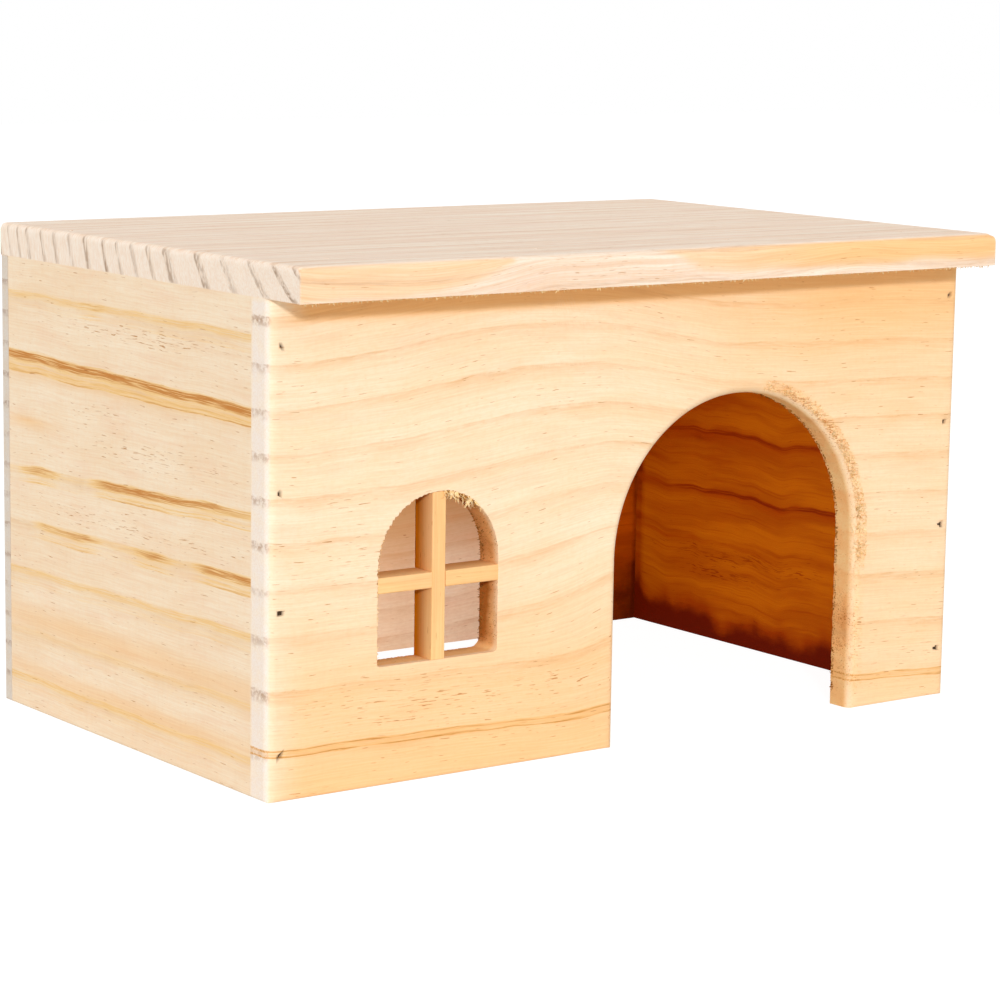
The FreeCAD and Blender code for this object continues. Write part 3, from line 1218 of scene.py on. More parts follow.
    def grain_height(self, points: np.ndarray) -> np.ndarray:
        """Undoes the swell in the rings, which is widest at the top and moves right lower down.

        A ring that leaves the left end at height h runs at h, less a gentle fall, plus a bell
        curve of the distance from the swell's middle. The height is found by going round five
        times from the point's own height.

        Args:
            points: Points of the skin, in millimetres.

        Returns:
            Height of each point in the grain.
        """
        x = points[:, 0] - self.low[0]
        height = points[:, 2].copy()
        for _ in range(5):
            lower = np.clip(141.5 - height, -30, 110)
            middle = 111 + 0.44 * lower
            reach = np.where(x < middle, np.clip(68 - 0.36 * lower, 34, 80), 60)
            swell = 0.8 + 10.6 * smooth(10, 58, height)
            height = points[:, 2] + 0.021 * x - swell * np.exp(-((x - middle) / reach) ** 2)
        return height + 0.5 * ripple(x, 3, 95)

    def door_opening(self) -> Opening:
        """Arch of the doorway, from right to left.

        Returns:
            The arch and the middle of its round.
        """
        radius = self.door_width / 2
        middle = (self.high[0] - self.door_margin - radius, self.door_spring)
        return Opening(np.array(middle), arc(middle, radius, 0, 0.5, 400))

    def window_opening(self, corner: float) -> Opening:
        """Outline of the window, once round against the clock from the right end of its arch.

        Args:
            corner: Radius of the two lower corners.

        Returns:
            The outline and a point inside it.
        """
        half = self.window_width / 2
        middle = self.window_middle()
        low = self.window_sill + corner
        arch = arc((middle, self.window_spring), half, 0, 0.5, 400)
        left = arc((middle - half + corner, low), corner, 0.5, 0.75, 24)
        right = arc((middle + half - corner, low), corner, 0.75, 1.0, 24)
        height = (self.window_sill + self.window_spring) / 2 + 6
        return Opening(np.array([middle, height]), np.concatenate([arch, left, right, arch[:1]]))

    def ragged(self, edge: np.ndarray, centre: np.ndarray) -> np.ndarray:
        """How far the saw left each point of the window's edge out of true, in millimetres.

        Args:
            edge: Points of the edge in X and Z.
            centre: Point inside the window.

        Returns:
            The distance outwards at each point.
        """
        around = 40 * np.arctan2(edge[:, 1] - centre[1], edge[:, 0] - centre[0])
        torn = 0.12 + 0.26 * smooth(2, 12, centre[0] - edge[:, 0]) * smooth(42, 56, edge[:, 1])
        return torn * (0.5 * ripple(around, 21, 6.0) + 0.7 * ripple(around, 22, 2.2))

    def block(
        self,
        rim: np.ndarray,
        edge: np.ndarray,
        back_edge: np.ndarray,
        outward: np.ndarray,
        roll: float,
        surface: Surface,
        wall: np.ndarray,
    ) -> np.ndarray:
        """Adds the part of the board between an opening and a rim.

        Each ray of the grid runs from the rim to the opening over the back, forwards through
        the board's thickness, over the roll as a quarter circle, and back to the rim over the
        front. Where wall says so, a strip through the thickness closes the rim.

        Args:
            rim: Points of the rim in X and Z.
            edge: Matching points of the opening at the front.
            back_edge: Matching points of the opening at the back.
            outward: Directions in which the roll leaves the opening.
            roll: Radius of the roll.
            surface: Surface that gets the grids.
            wall: For each point of the rim, whether it is on an end of the board.

        Returns:
            The grid's points, rays by rows by 3.
        """
        front, back = self.low[1], self.high[1]
        share = np.linspace(0, 1, self.face_rows)
        share = 0.5 * share ** 2.2 + 0.5 * (1 - (1 - share) ** 1.7)
        face_start = edge + outward * roll
        rows = [level(rim + (back_edge - rim) * part, back) for part in 1 - share[::-1]]
        for part in np.linspace(0, 1, 13)[1:]:
            rows.append(level(back_edge + (edge - back_edge) * part, back + (front + roll - back) * part))
        for angle in np.linspace(0, math.pi / 2, 9)[1:]:
            spot = edge + outward * roll * (1 - math.cos(angle))
            rows.append(level(spot, front + roll * (1 - math.sin(angle))))
        rows += [level(face_start + (rim - face_start) * part, front) for part in share[1:]]
        grid = np.stack(rows, axis=1)
        surface.add_grid(grid)
        strip = np.stack([level(rim, y) for y in self.depths()], axis=1)
        breaks = np.flatnonzero(np.diff(np.concatenate(([0], wall.astype(int), [0]))))
        for start, stop in zip(breaks[::2], breaks[1::2]):
            surface.add_grid(strip[start:stop])
        return grid

    def depths(self) -> np.ndarray:
        """Places of the grid's lines through the thickness."""
        return stations(self.low[1], self.high[1], 1.0, ((self.low[1], 3.2, 0.6),))

    def surface(self) -> Surface:
        """Skin of the panel: a block round the window, a block round the door, and two feet.

        Returns:
            The grids of both blocks, with the two ends that the doorway leaves open closed.
        """
        left, _, bottom = self.low
        right, _, top = self.high
        parting = left + self.parting
        surface = Surface()
        spots = [(float(spot[2]), 1.9, 0.3) for spot, _, _ in self.holes()]
        foot = (0.0, 1.6, 0.4)
        up_left = stations(bottom, top, 1.7, (foot, *spots[:4]))
        up_middle = stations(bottom, top, 1.7, (foot,))
        up_right = stations(bottom, top, 1.7, (foot, *spots[4:]))
        low_x = stations(left, parting, 1.7, ((left, 4.0, 0.7),))
        high_x = stations(parting, right, 1.7, ((right, 4.0, 0.7),))

        window = self.window_opening(self.window_front_corner)
        rim = np.concatenate([
            run(left, up_left[::-1]), run(low_x, bottom)[1:], run(parting, up_middle)[1:],
            run(low_x[::-1], top)[1:],
        ])
        edge = window.towards(rim)
        away = edge - window.centre
        away /= np.linalg.norm(away, axis=1, keepdims=True)
        rough = away * self.ragged(edge, window.centre)[:, None]
        rough[-1] = rough[0]
        edge = edge + rough
        back_edge = self.window_opening(self.window_corner).towards(rim) + rough
        at_parting = np.abs(rim[:, 0] - parting) < 0.001
        at_end = (rim[:, 1] <= bottom + 0.001) | (rim[:, 1] >= top - 0.001)
        self.block(rim, edge, back_edge, away, self.window_ease, surface, ~at_parting | at_end)

        door = self.door_opening()
        rim = np.concatenate([
            run(parting, up_middle), run(high_x, top)[1:], run(right, up_right[::-1])[1:],
        ])
        edge = door.towards(rim)
        up_edge = rim[:, 0] * 0.6 + rim[:, 1]
        jamb = np.where(rim[:, 0] < door.centre[0], -0.5, 0.5) * self.door_width + door.centre[0]
        low = rim[:, 1] <= self.door_spring
        edge[low] = run(jamb, rim[:, 1])[low]
        away = edge - run(door.centre[0], np.where(low, rim[:, 1], door.centre[1]))
        away /= np.linalg.norm(away, axis=1, keepdims=True)
        at_parting = np.abs(rim[:, 0] - parting) < 0.001
        at_end = rim[:, 1] >= top - 0.001
        torn = 0.2 * smooth(8, 30, rim[:, 0] - door.centre[0]) * smooth(1, 8, rim[:, 1])
        rough = away * (torn * ripple(up_edge, 24, 7.0))[:, None]
        grid = self.block(rim, edge, edge + rough, away, self.door_roll, surface, ~at_parting | at_end)
        depths = self.depths()
        for ray, x in ((grid[0], parting), (grid[-1], right)):
            closing = np.stack([np.full(len(depths), x), depths, np.full(len(depths), bottom)], axis=1)
            surface.add_polygon(np.concatenate([ray[:-1], closing[:-1]]))
        return surface


@dataclass
class SidePanel(Board):
    """Side board between the front and back panels."""

    foot_round: float = 0.8
    outward: int = -1
    tilts: tuple[tuple[float, float], ...] = ((0.0, 0.0), (163.0, 0.0))
    wave: float = 0.3

    def rounds(self) -> list[tuple]:
        """The foot of the outer face."""
        outer = self.low[0] if self.outward < 0 else self.high[0]
        return [((0, 2), (outer, 0.0), (self.outward, -1), self.foot_round)]

    def innerness(self, points: np.ndarray) -> np.ndarray:
        """One on the face towards the room."""
        inner = self.high[0] if self.outward < 0 else self.low[0]
        return (np.abs(points[:, 0] - inner) < ON_FACE).astype(float)

    def warmth_and_shade(self, points: np.ndarray) -> np.ndarray:
        """Painted shade on the inner face, dark at the foot, high up towards the back and in the back corner;
        slightly warm outside.

        Args:
            points: Points of the skin, in millimetres.

        Returns:
            How much warmer the wood is at each point.
        """
        inner = self.innerness(points)
        y, z = points[:, 1], points[:, 2]
        # painted shade: dark along the foot of the inner face, where shade lies along the floor
        foot = 0.9 * (1 - smooth(-1, 16, z - 5 * smooth(30, 90, y) + 2.5 * ripple(y, 61, 40)))
        # painted shade: darker high up towards the back and in the back corner
        corner = 0.32 * smooth(-5, 82, y) * smooth(40, 86, z) + 0.3 * smooth(87.5, 90.5, y)
        return inner * np.clip(foot + corner, 0, 1) + (1 - inner) * 0.1

    def grain_height(self, points: np.ndarray) -> np.ndarray:
        """Undoes each ring's own tilt, found by going round four times, and a slight wave.

        Args:
            points: Points of the skin, in millimetres.

        Returns:
            Height of each point in the grain.
        """
        y = points[:, 1] - self.low[1]
        heights, tilts = zip(*self.tilts)
        height = points[:, 2].copy()
        for _ in range(4):
            height = points[:, 2] - np.interp(height, heights, tilts) * y
        return height + self.wave * ripple(y, 9 + self.outward, 60)


@dataclass
class BackPanel(LongPanel):
    """Plain back board."""

    outward: int = 1
    brads: tuple[str, str] = ("back_left_brads", "back_right_brads")

    def innerness(self, points: np.ndarray) -> np.ndarray:
        """Deep where the face towards the room runs into its right corner, as painted corner shade."""
        inner = (np.abs(points[:, 1] - self.low[1]) < ON_FACE).astype(float)
        return inner * smooth(76, 108, points[:, 0])

    def warmth_and_shade(self, points: np.ndarray) -> np.ndarray:
        """Warmer towards the roof, with painted shade at the foot and in the right corner, on the inner face.

        Args:
            points: Points of the skin, in millimetres.

        Returns:
            How much warmer the wood is at each point.
        """
        inner = np.abs(points[:, 1] - self.low[1]) < ON_FACE
        x, z = points[:, 0], points[:, 2]
        tan = 0.2 + 0.78 * smooth(5, 66, z) - 0.45 * smooth(22, 46, x) * (1 - smooth(24, 60, z))
        tan = np.clip(tan, 0, 1) * (1 - smooth(70, 90, x))
        # painted shade: darker at the foot and into the right corner
        corner = 0.16 + 0.5 * (1 - smooth(2, 40, z)) + 0.3 * smooth(137.5, 140.5, x)
        return np.where(inner, tan + smooth(90, 115, x) * corner, 0.06)

    def grain_height(self, points: np.ndarray) -> np.ndarray:
        """Rings with a long low swell in the middle of the board."""
        x = points[:, 0]
        return points[:, 2] + 7 * np.exp(-((x + 20) / 90) ** 2) + 0.5 * ripple(x, 13, 120)


@dataclass
class RoofBoard(Board):
    """Roof board, sawn so that its rings stand steep at the back and lean over to the front."""

    front_round: float = 3.5
    edge_round: float = 2.2
    side_board: float = 9.5
    overhang: float = 18.0

    def rounds(self) -> list[tuple]:
        """Bullnose in front, and eased top edges and back corners.

        Returns:
            Their axes, corner, outward signs and radius.
        """
        left, front, _ = self.low
        right, back, top = self.high
        return [
            ((0, 1), (left, back), (-1, 1), self.edge_round),
            ((0, 1), (right, back), (1, 1), self.edge_round),
            ((1, 2), (front, top), (-1, 1), self.front_round),
            ((1, 2), (back, top), (1, 1), self.edge_round),
            ((0, 2), (left, top), (-1, 1), self.edge_round),
            ((0, 2), (right, top), (1, 1), self.edge_round),
        ]

    def holes(self) -> list[tuple[np.ndarray, int, int]]:
        """Four brads over the front and back panels and two over each side board.

        Returns:
            Their centres on the roof, the face's axis and the way in.
        """
        spots = []
        top = self.high[2]
        for node in ("roof_front_brads", "roof_back_brads"):
            row = BradRow(node)
            spots += [(np.array([x, row.middle(1), top]), 2, -1) for x in row.evenly(0, 4)]
        for node in ("roof_left_brads", "roof_right_brads"):
            row = BradRow(node)
            spots += [(np.array([row.middle(0), y, top]), 2, -1) for y in row.evenly(1, 2)]
        return spots

    def innerness(self, points: np.ndarray) -> np.ndarray:
        """One under the roof, between the walls.

        Args:
            points: Points of the skin, in millimetres.

        Returns:
            How far each point is turned to the room.
        """
        _, front_wall = node_box("front_panel")
        back_wall, _ = node_box("back_panel")
        under = np.abs(points[:, 2] - self.low[2]) < ON_FACE
        between = (points[:, 1] > front_wall[1]) & (points[:, 1] < back_wall[1])
        within = np.abs(points[:, 0]) < self.high[0] - self.side_board
        return (under & between & within).astype(float)

    def warmth_and_shade(self, points: np.ndarray) -> np.ndarray:
        """Golden on the front edge, but for a pale stretch left of its middle.

        Args:
            points: Points of the skin, in millimetres.

        Returns:
            How much warmer the wood is at each point.
        """
        along = points[:, 0] - self.low[0]
        above = points[:, 2] - self.low[2]
        places = (0, 40, 66, 82, 86, 140, 162, 200, 300)
        boundary = np.interp(along, places, (0.5, 0.5, 4.2, 9, 14, 14, 4, 2.8, 3.4))
        golden = smooth(-1.6, 1.6, above - boundary + 0.5 * ripple(along, 35, 60))
        right = smooth(158, 230, along)
        front = 1 - smooth(0.5, 3.0, points[:, 1] - self.low[1])
        return front * (0.05 + golden * (0.5 + 0.36 * right))

    def grain_height(self, points: np.ndarray) -> np.ndarray:
        """Place of each point across the rings, which lean less and less towards the back.

        The measure is the distance behind the wall's face, less the lean times the height above
        the board's middle. Near the front edge the rings also dip and rise along the board.

        Args:
            points: Points of the skin, in millimetres.

        Returns:
            Place of each point across the rings.
        """
        behind = points[:, 1] - (self.low[1] + self.overhang)
        above = points[:, 2] - (self.low[2] + self.high[2]) / 2
        along = points[:, 0] - self.low[0]
        lean = 0.2 + 1.15 * np.exp(-(behind + self.overhang) / 62)
        dip = 7.5 * (1 - np.exp(-((along - 38) / 47) ** 2)) - 3.0 + 1.5 * ripple(along, 31, 170)
        near = np.exp(-(behind + self.overhang) / 26)
        return behind - lean * (above - near * dip) + 0.7 * ripple(along + behind, 33, 140)


@dataclass
class Threads:
    """Torn fibres as arrays: where each is rooted, how it leaves, and how it bends and tapers."""

    roots: np.ndarray
    ways: np.ndarray
    bends: np.ndarray
    lengths: np.ndarray
    widths: np.ndarray
    curls: np.ndarray

    def surface(self, sections: int = 7) -> Surface:
        """Skin of all the fibres.

        Each centre line is an arc that starts along its way and turns towards its bend by its
        curl. The section is a flat diamond whose width falls off as the square root of what is
        left of the length.

        Args:
            sections: Number of cross-sections of each fibre.

        Returns:
            The closed tubes.
        """
        ways = self.ways / np.linalg.norm(self.ways, axis=1, keepdims=True)
        sides = np.cross(ways, self.bends)
        sides /= np.linalg.norm(sides, axis=1, keepdims=True)
        bends = np.cross(sides, ways)
        share = np.linspace(0, 1, sections)
        turn = self.curls[:, None] * share
        reach = (self.lengths / self.curls)[:, None]
        forward = (reach * np.sin(turn))[..., None] * ways[:, None]
        aside = (reach * (1 - np.cos(turn)))[..., None] * bends[:, None]
        centre = self.roots[:, None] + forward + aside
        upright = np.cos(turn)[..., None] * bends[:, None] - np.sin(turn)[..., None] * ways[:, None]
        width = self.widths[:, None] * np.sqrt(np.clip(1 - share, 0.02, 1))
        flat = width[..., None] * sides[:, None]
        thick = 0.45 * width[..., None] * upright
        ring = np.stack([centre + flat, centre + thick, centre - flat, centre - thick], axis=2)
        surface = Surface()
        for tube in ring:
            surface.add_grid(np.concatenate([tube, tube[:, :1]], axis=1))
            surface.add_polygon(tube[0])
            surface.add_polygon(tube[-1][::-1])
        return surface


@dataclass
class TornWood:
    """Fibres that the cutter and the saw tore up instead of cutting."""

    panel: FrontPanel
    finish: Pine
    shaded: Pine
    seed: int = 7

    def __post_init__(self) -> None:
        """Starts the random numbers."""
        self.rng = np.random.default_rng(self.seed)

    def scatter(self, count: int, spread: float = 0.35) -> np.ndarray:
        """Random vectors that turn each fibre a little its own way."""
        return self.rng.normal(0, spread, (count, 3))

    def threads(
        self,
        roots: np.ndarray,
        ways: np.ndarray,
        length: tuple[float, float],
        width: tuple[float, float],
        curl: tuple[float, float],
    ) -> Threads:
        """Fibres with random lengths, half widths and curls between the given ends.

        Args:
            roots: Where each fibre starts.
            ways: How each fibre leaves, before it is turned a little its own way.
            length: Least and greatest length.
            width: Least and greatest half width.
            curl: Least and greatest curl, in radians.

        Returns:
            The fibres.
        """
        count = len(roots)
        spread = self.rng.random((3, count)) ** 2
        sizes = [low + (high - low) * part for (low, high), part in zip((length, width, curl), spread)]
        return Threads(roots, ways + self.scatter(count), self.scatter(count, 1.0), *sizes)

    def along_roll(self, places: np.ndarray, roll: np.ndarray) -> tuple[np.ndarray, np.ndarray]:
        """Points on the right half of the door's roll.

        Args:
            places: Distances along the edge, 0 where the arch springs and less than 0 below.
            roll: Angle round the roll, 0 in the doorway and a right angle in front.

        Returns:
            The points, and the directions that leave the doorway there in X and Z.
        """
        panel = self.panel
        door = panel.door_opening()
        radius = panel.door_width / 2
        turn = np.clip(places, 0, None) / radius
        outward = run(np.cos(turn), np.sin(turn))
        edge = door.centre + radius * outward
        edge[:, 1] += np.minimum(places, 0)
        spot = edge + outward * (panel.door_roll * (1 - np.cos(roll)))[:, None]
        depth = panel.low[1] + panel.door_roll * (1 - np.sin(roll))
        return np.stack([spot[:, 0], depth, spot[:, 1]], axis=1), outward

    def tufts(self, count: int, low: float, high: float, tufts: int) -> np.ndarray:
        """Places between two ends that gather in tufts."""
        return self.rng.choice(self.rng.uniform(low, high, tufts), count) + self.rng.normal(0, 1.0, count)

    def door(self) -> list[Threads]:
        """Fuzz where the right half of the door's roll meets the face.

        Each kind has its ends along the edge, its count, its tufts, its range of angles round the
        roll, its lengths, its half widths, and how far it leans out of the face.

        Returns:
            The fibres of the arch, of the spring of the arch and of the upright edge.
        """
        groups = []
        kinds = (
            ((8, 76), 1500, 110, (1.0, 1.9), (0.5, 1.5), (0.1, 0.24), -0.7),
            ((-10, 10), 420, 22, (1.0, 2.0), (0.6, 2.0), (0.12, 0.26), -0.6),
            ((-58, 8), 700, 60, (0.3, 1.9), (0.4, 1.2), (0.08, 0.2), -0.5),
        )
        for ends, count, tufts, roll_range, length, width, forward in kinds:
            roll = self.rng.uniform(*roll_range, count)
            roots, outward = self.along_roll(self.tufts(count, *ends, tufts), np.minimum(roll, math.pi / 2))
            further = np.clip(roll - math.pi / 2, 0, None) * 6
            roots[:, 0] += further * outward[:, 0]
            roots[:, 2] += further * outward[:, 1]
            roots[:, 1] += 0.05
            ways = np.stack([
                np.full(count, -1.0), np.full(count, forward), self.rng.normal(-0.1, 0.3, count),
            ], axis=1)
            kept = roots[:, 2] > 2.5
            groups.append(self.threads(roots[kept], ways[kept], length, width, (0.2, 1.8)))
        return groups

    def door_shade(self) -> list[Threads]:
        """Teeth along the back edge of the doorway's right half, which take the darker fibre finish as
        painted shade.

        Returns:
            The teeth.
        """
        count = 620
        roots, outward = self.along_roll(self.tufts(count, -60, 72, 170), np.zeros(count))
        roots[:, 1] = self.panel.high[1] - self.rng.uniform(0.2, 1.4, count)
        roots[:, [0, 2]] += 0.1 * outward
        ways = np.stack([-outward[:, 0], np.full(count, 0.1), -outward[:, 1]], axis=1)
        kept = roots[:, 2] > 2.0
        return [self.threads(roots[kept], ways[kept], (0.3, 1.1), (0.14, 0.34), (0.2, 1.2))]

    def jamb(self, side: int, count: int, depth: np.ndarray, length: tuple, width: tuple) -> Threads:
        """Fuzz up one side of the window and round the foot of its arch.

        Args:
            side: Sign of the side in X.
            count: Number of fibres.
            depth: Place of each fibre through the thickness.
            length: Least and greatest length.
            width: Least and greatest half width.

        Returns:
            The fibres.
        """
        panel = self.panel
        half = panel.window_width / 2
        height = self.rng.uniform(panel.window_sill + 2, panel.window_spring + 14, count)
        rise = np.clip(height - panel.window_spring, 0, None)
        x = panel.window_middle() + side * (np.sqrt(half ** 2 - rise ** 2) + 0.1)
        ways = np.tile((-1.0 * side, -0.15, 0.0), (count, 1))
        return self.threads(np.stack([x, depth, height], axis=1), ways, length, width, (0.2, 1.5))

    def window(self) -> list[Threads]:
        """Fuzz on the window's left edge, and pale slivers in the right of its arch.

        Each kind of sliver has its count, its angles up the arch, its depths behind the face, its
        lengths, its half widths and its curls.

        Returns:
            The fuzz, and the slivers kind by kind.
        """
        panel = self.panel
        half = panel.window_width / 2
        front = panel.low[1]
        middle = panel.window_middle()
        groups = [self.jamb(-1, 260, front + self.rng.uniform(0.05, 1.2, 260), (0.3, 1.1), (0.1, 0.24))]
        kinds = (
            (54, (52, 86), (-0.3, 0.6), (2.0, 4.8), (0.32, 0.75), (0.8, 3.0)),
            (50, (50, 86), (0.8, 4.5), (1.5, 4.5), (0.22, 0.5), (0.5, 2.2)),
            (60, (40, 86), (0.1, 2.0), (0.6, 2.0), (0.1, 0.22), (0.4, 2.4)),
        )
        for count, span, depths, length, width, curl in kinds:
            turn = np.radians(self.rng.uniform(*span, count))
            rim = run(middle + half * np.cos(turn), panel.window_spring + half * np.sin(turn))
            roots = np.stack([rim[:, 0], front + self.rng.uniform(*depths, count), rim[:, 1] + 0.1], axis=1)
            ways = np.stack([-0.6 * np.cos(turn), np.full(count, -0.1), -np.sin(turn)], axis=1)
            groups.append(self.threads(roots, ways, length, width, curl))
        return groups

    def window_shade(self) -> list[Threads]:
        """Broken ends behind the slivers of the window's arch, and fuzz down its right jamb, which take the
        darker fibre finish as painted shade.

        Returns:
            The ends and the two kinds of fuzz.
        """
        panel = self.panel
        front, back = panel.low[1], panel.high[1]
        count = 150
        turn = np.radians(self.rng.uniform(53, 87, count))
        half = panel.window_width / 2 + self.rng.uniform(-0.4, 0.4, count)
        middle = panel.window_middle()
        rim = run(middle + half * np.cos(turn), panel.window_spring + half * np.sin(turn))
        roots = np.stack([rim[:, 0], front + self.rng.uniform(-0.05, 0.3, count), rim[:, 1]], axis=1)
        ways = np.stack([-0.6 * np.cos(turn), np.full(count, 0.05), -np.sin(turn)], axis=1)
        ends = self.threads(roots, ways, (0.6, 2.0), (0.2, 0.45), (0.2, 1.4))
        right = self.jamb(1, 240, back - self.rng.beta(1, 3, 240) * 4, (0.5, 1.5), (0.12, 0.28))
        fuzz = self.jamb(1, 420, self.rng.uniform(front, back, 420), (0.3, 0.9), (0.07, 0.15))
        return [ends, right, fuzz]

    def roof(self) -> list[Threads]:
        """Short whiskers along the roof's lower front edge.

        Returns:
            The whiskers.
        """
        low, high = node_box("roof_board")
        count = 800
        roots = np.stack([
            self.rng.uniform(low[0] + 2, high[0] - 2, count),
            low[1] + self.rng.uniform(0.4, 0.8, count),
            np.full(count, low[2] + 0.1),
        ], axis=1)
        ways = np.tile((0.5, 0.25, -1.0), (count, 1))
        whiskers = self.threads(roots, ways, (0.5, 1.6), (0.12, 0.32), (0.2, 1.2))
        whiskers.ways[:, 1] = np.abs(whiskers.ways[:, 1])
        whiskers.bends[:, 1] = np.abs(whiskers.bends[:, 1])
        return [whiskers]

    def build(self) -> None:
        """Makes one piece of fibres for the door, the window and the roof."""
        bright = self.finish.material(Grain.ACROSS)
        # painted shade: a darker copy of the fibre finish for fibres in the openings' shade
        painted_shade_fibre = self.shaded.material(Grain.ACROSS)
        places = (
            ("door", self.door(), "pine_panel", bright),
            ("door_shade", self.door_shade(), "pine_panel", painted_shade_fibre),
            ("window", self.window(), "pine_panel", bright),
            ("window_shade", self.window_shade(), "pine_panel", painted_shade_fibre),
            ("roof", self.roof(), "pine_roof", bright),
        )
        for place, groups, slot, material in places:
            surface = Surface()
            for group in groups:
                part = group.surface()
                points, faces = part.weld()
                surface.polygons += [[spot + surface.count for spot in face] for face in faces]
                surface.points.append(points)
                surface.count += len(points)
            points = np.concatenate(surface.points)
            obj = make_object(place + "_torn_fibres", points, surface.polygons, FIBRE_CREASE)
            obj.data.materials.append(material)
            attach(obj, BODY)
            log.info("%s: %d points, %d faces", obj.name, len(points), len(surface.polygons))


def pine_finishes() -> dict[str, Pine]:
    """Finish of each board, by its name.

    Returns:
        The finishes of the boards, the bars and the torn fibres.
    """
    return {
        "front": Pine(
            name="front_planed_pine", early="#FFEED2", warm="#FFE4C0", rose="#FFDABC", late="#E0AA70",
            blush_and_shade="#FFC67E", end="#F8EEE6", end_late="#B89A84", inner="#FFDDA2", inner_late="#FBC07E",
            inner_dark="#AC5C0C", inner_edge=0.35, stain="#C88634", stain_edge="#F6C078",
            stain_profile=((-2.3, 0.0), (-1.9, 0.85), (-1.4, 0.25), (-0.4, 0.25), (0.1, 0.8), (0.7, 0.0)),
        ),
        "left": Pine(
            name="left_side_planed_pine", early="#FAEBD4", warm="#F5DDBE", rose="#F4D3B8", late="#D0A066",
            blush_and_shade="#F6C88E", end="#F2E4D6", end_late="#B99A80", inner="#D08A40", inner_late="#96501A",
            stain="#CA863E", stain_edge="#F8CE80", late_strength=0.22, wash_strength=0.2,
            stain_profile=(
                (-5.6, 0.0), (-5.2, 0.8), (-4.6, 0.22), (-3.9, 0.5), (-3.2, 0.2), (-2.2, 0.35),
                (-1.6, 0.8), (-0.7, 0.95), (0.5, 1.0), (1.1, 0.3), (1.9, 0.0),
            ),
        ),
        # The right board's dark inner colours paint the shade of the room behind the doorway.
        "right": Pine(
            name="right_side_planed_pine", early="#FFECD0", warm="#FCDEBA", rose="#FAD4B8", late="#D8A060",
            blush_and_shade="#F5C48C", end="#F2E4D6", end_late="#B99A80", inner="#B05C04", inner_late="#8A3200",
            inner_dark="#500600", inner_edge=0.24, stain="#701C00", stain_edge="#963A00",
            stain_profile=((-5.0, 0.0), (-4.0, 0.25), (-1.5, 0.35), (-0.7, 0.9), (0.5, 0.9), (1.2, 0.0)),
        ),
        # The back board's deep orange inner colour paints the shade in its right corner.
        "back": Pine(
            name="back_planed_pine", early="#FFEBD0", warm="#FCDFBE", rose="#FAD2B6", late="#D29A66",
            blush_and_shade="#CC9A62", end="#FFF8F0", end_late="#C8B0A0", inner="#E07006", inner_late="#B04C04",
            inner_edge=0.3,
        ),
        "roof": Pine(
            name="roof_planed_pine", early="#FFF2E2", warm="#F4D8C0", rose="#F8DCCC", late="#D0A888",
            blush_and_shade="#FFCB8A", end="#F8EADC", end_late="#96785E", inner="#D08C48", inner_late="#9A5A20",
            late_strength=0.45, streak_strength=0.12, tone_strength=0.8, tone_size=(120.0, 3.5),
            end_width=0.2,
        ),
        "bars": Pine(
            name="window_bar_split_pine", early="#FED496", warm="#F8C284", rose="#FBC492", late="#DCA060",
            blush_and_shade="#FFC987", end="#F0D8B4", end_late="#B98850", inner="#D07804", inner_late="#9C5406",
            inner_dark="#8A4404", late_strength=0.25, ring_pitch=3.4,
        ),
        "fibres": Pine(
            name="torn_pine_fibre", early="#FFEEC6", warm="#F4CE8E", rose="#EAB870", late="#C88C44",
            blush_and_shade="#FFC987", end="#F3DDB8", end_late="#D0A070", inner="#A86414", inner_late="#6A3A08",
            tone_size=(2.0, 1.2), tone_strength=0.9, gloss=0.0,
        ),
        # Darker copy of the fibre finish, as painted shade for fibres deep in the openings.
        "shaded_fibres": Pine(
            name="torn_pine_fibre_in_shade", early="#D09A54", warm="#8A5620", rose="#B07836", late="#7A4A16",
            blush_and_shade="#C08A48", end="#B98A54", end_late="#80501C", inner="#A0601A", inner_late="#5E340A",
            tone_size=(1.6, 1.0), tone_strength=0.95, gloss=0.0,
        ),
    }


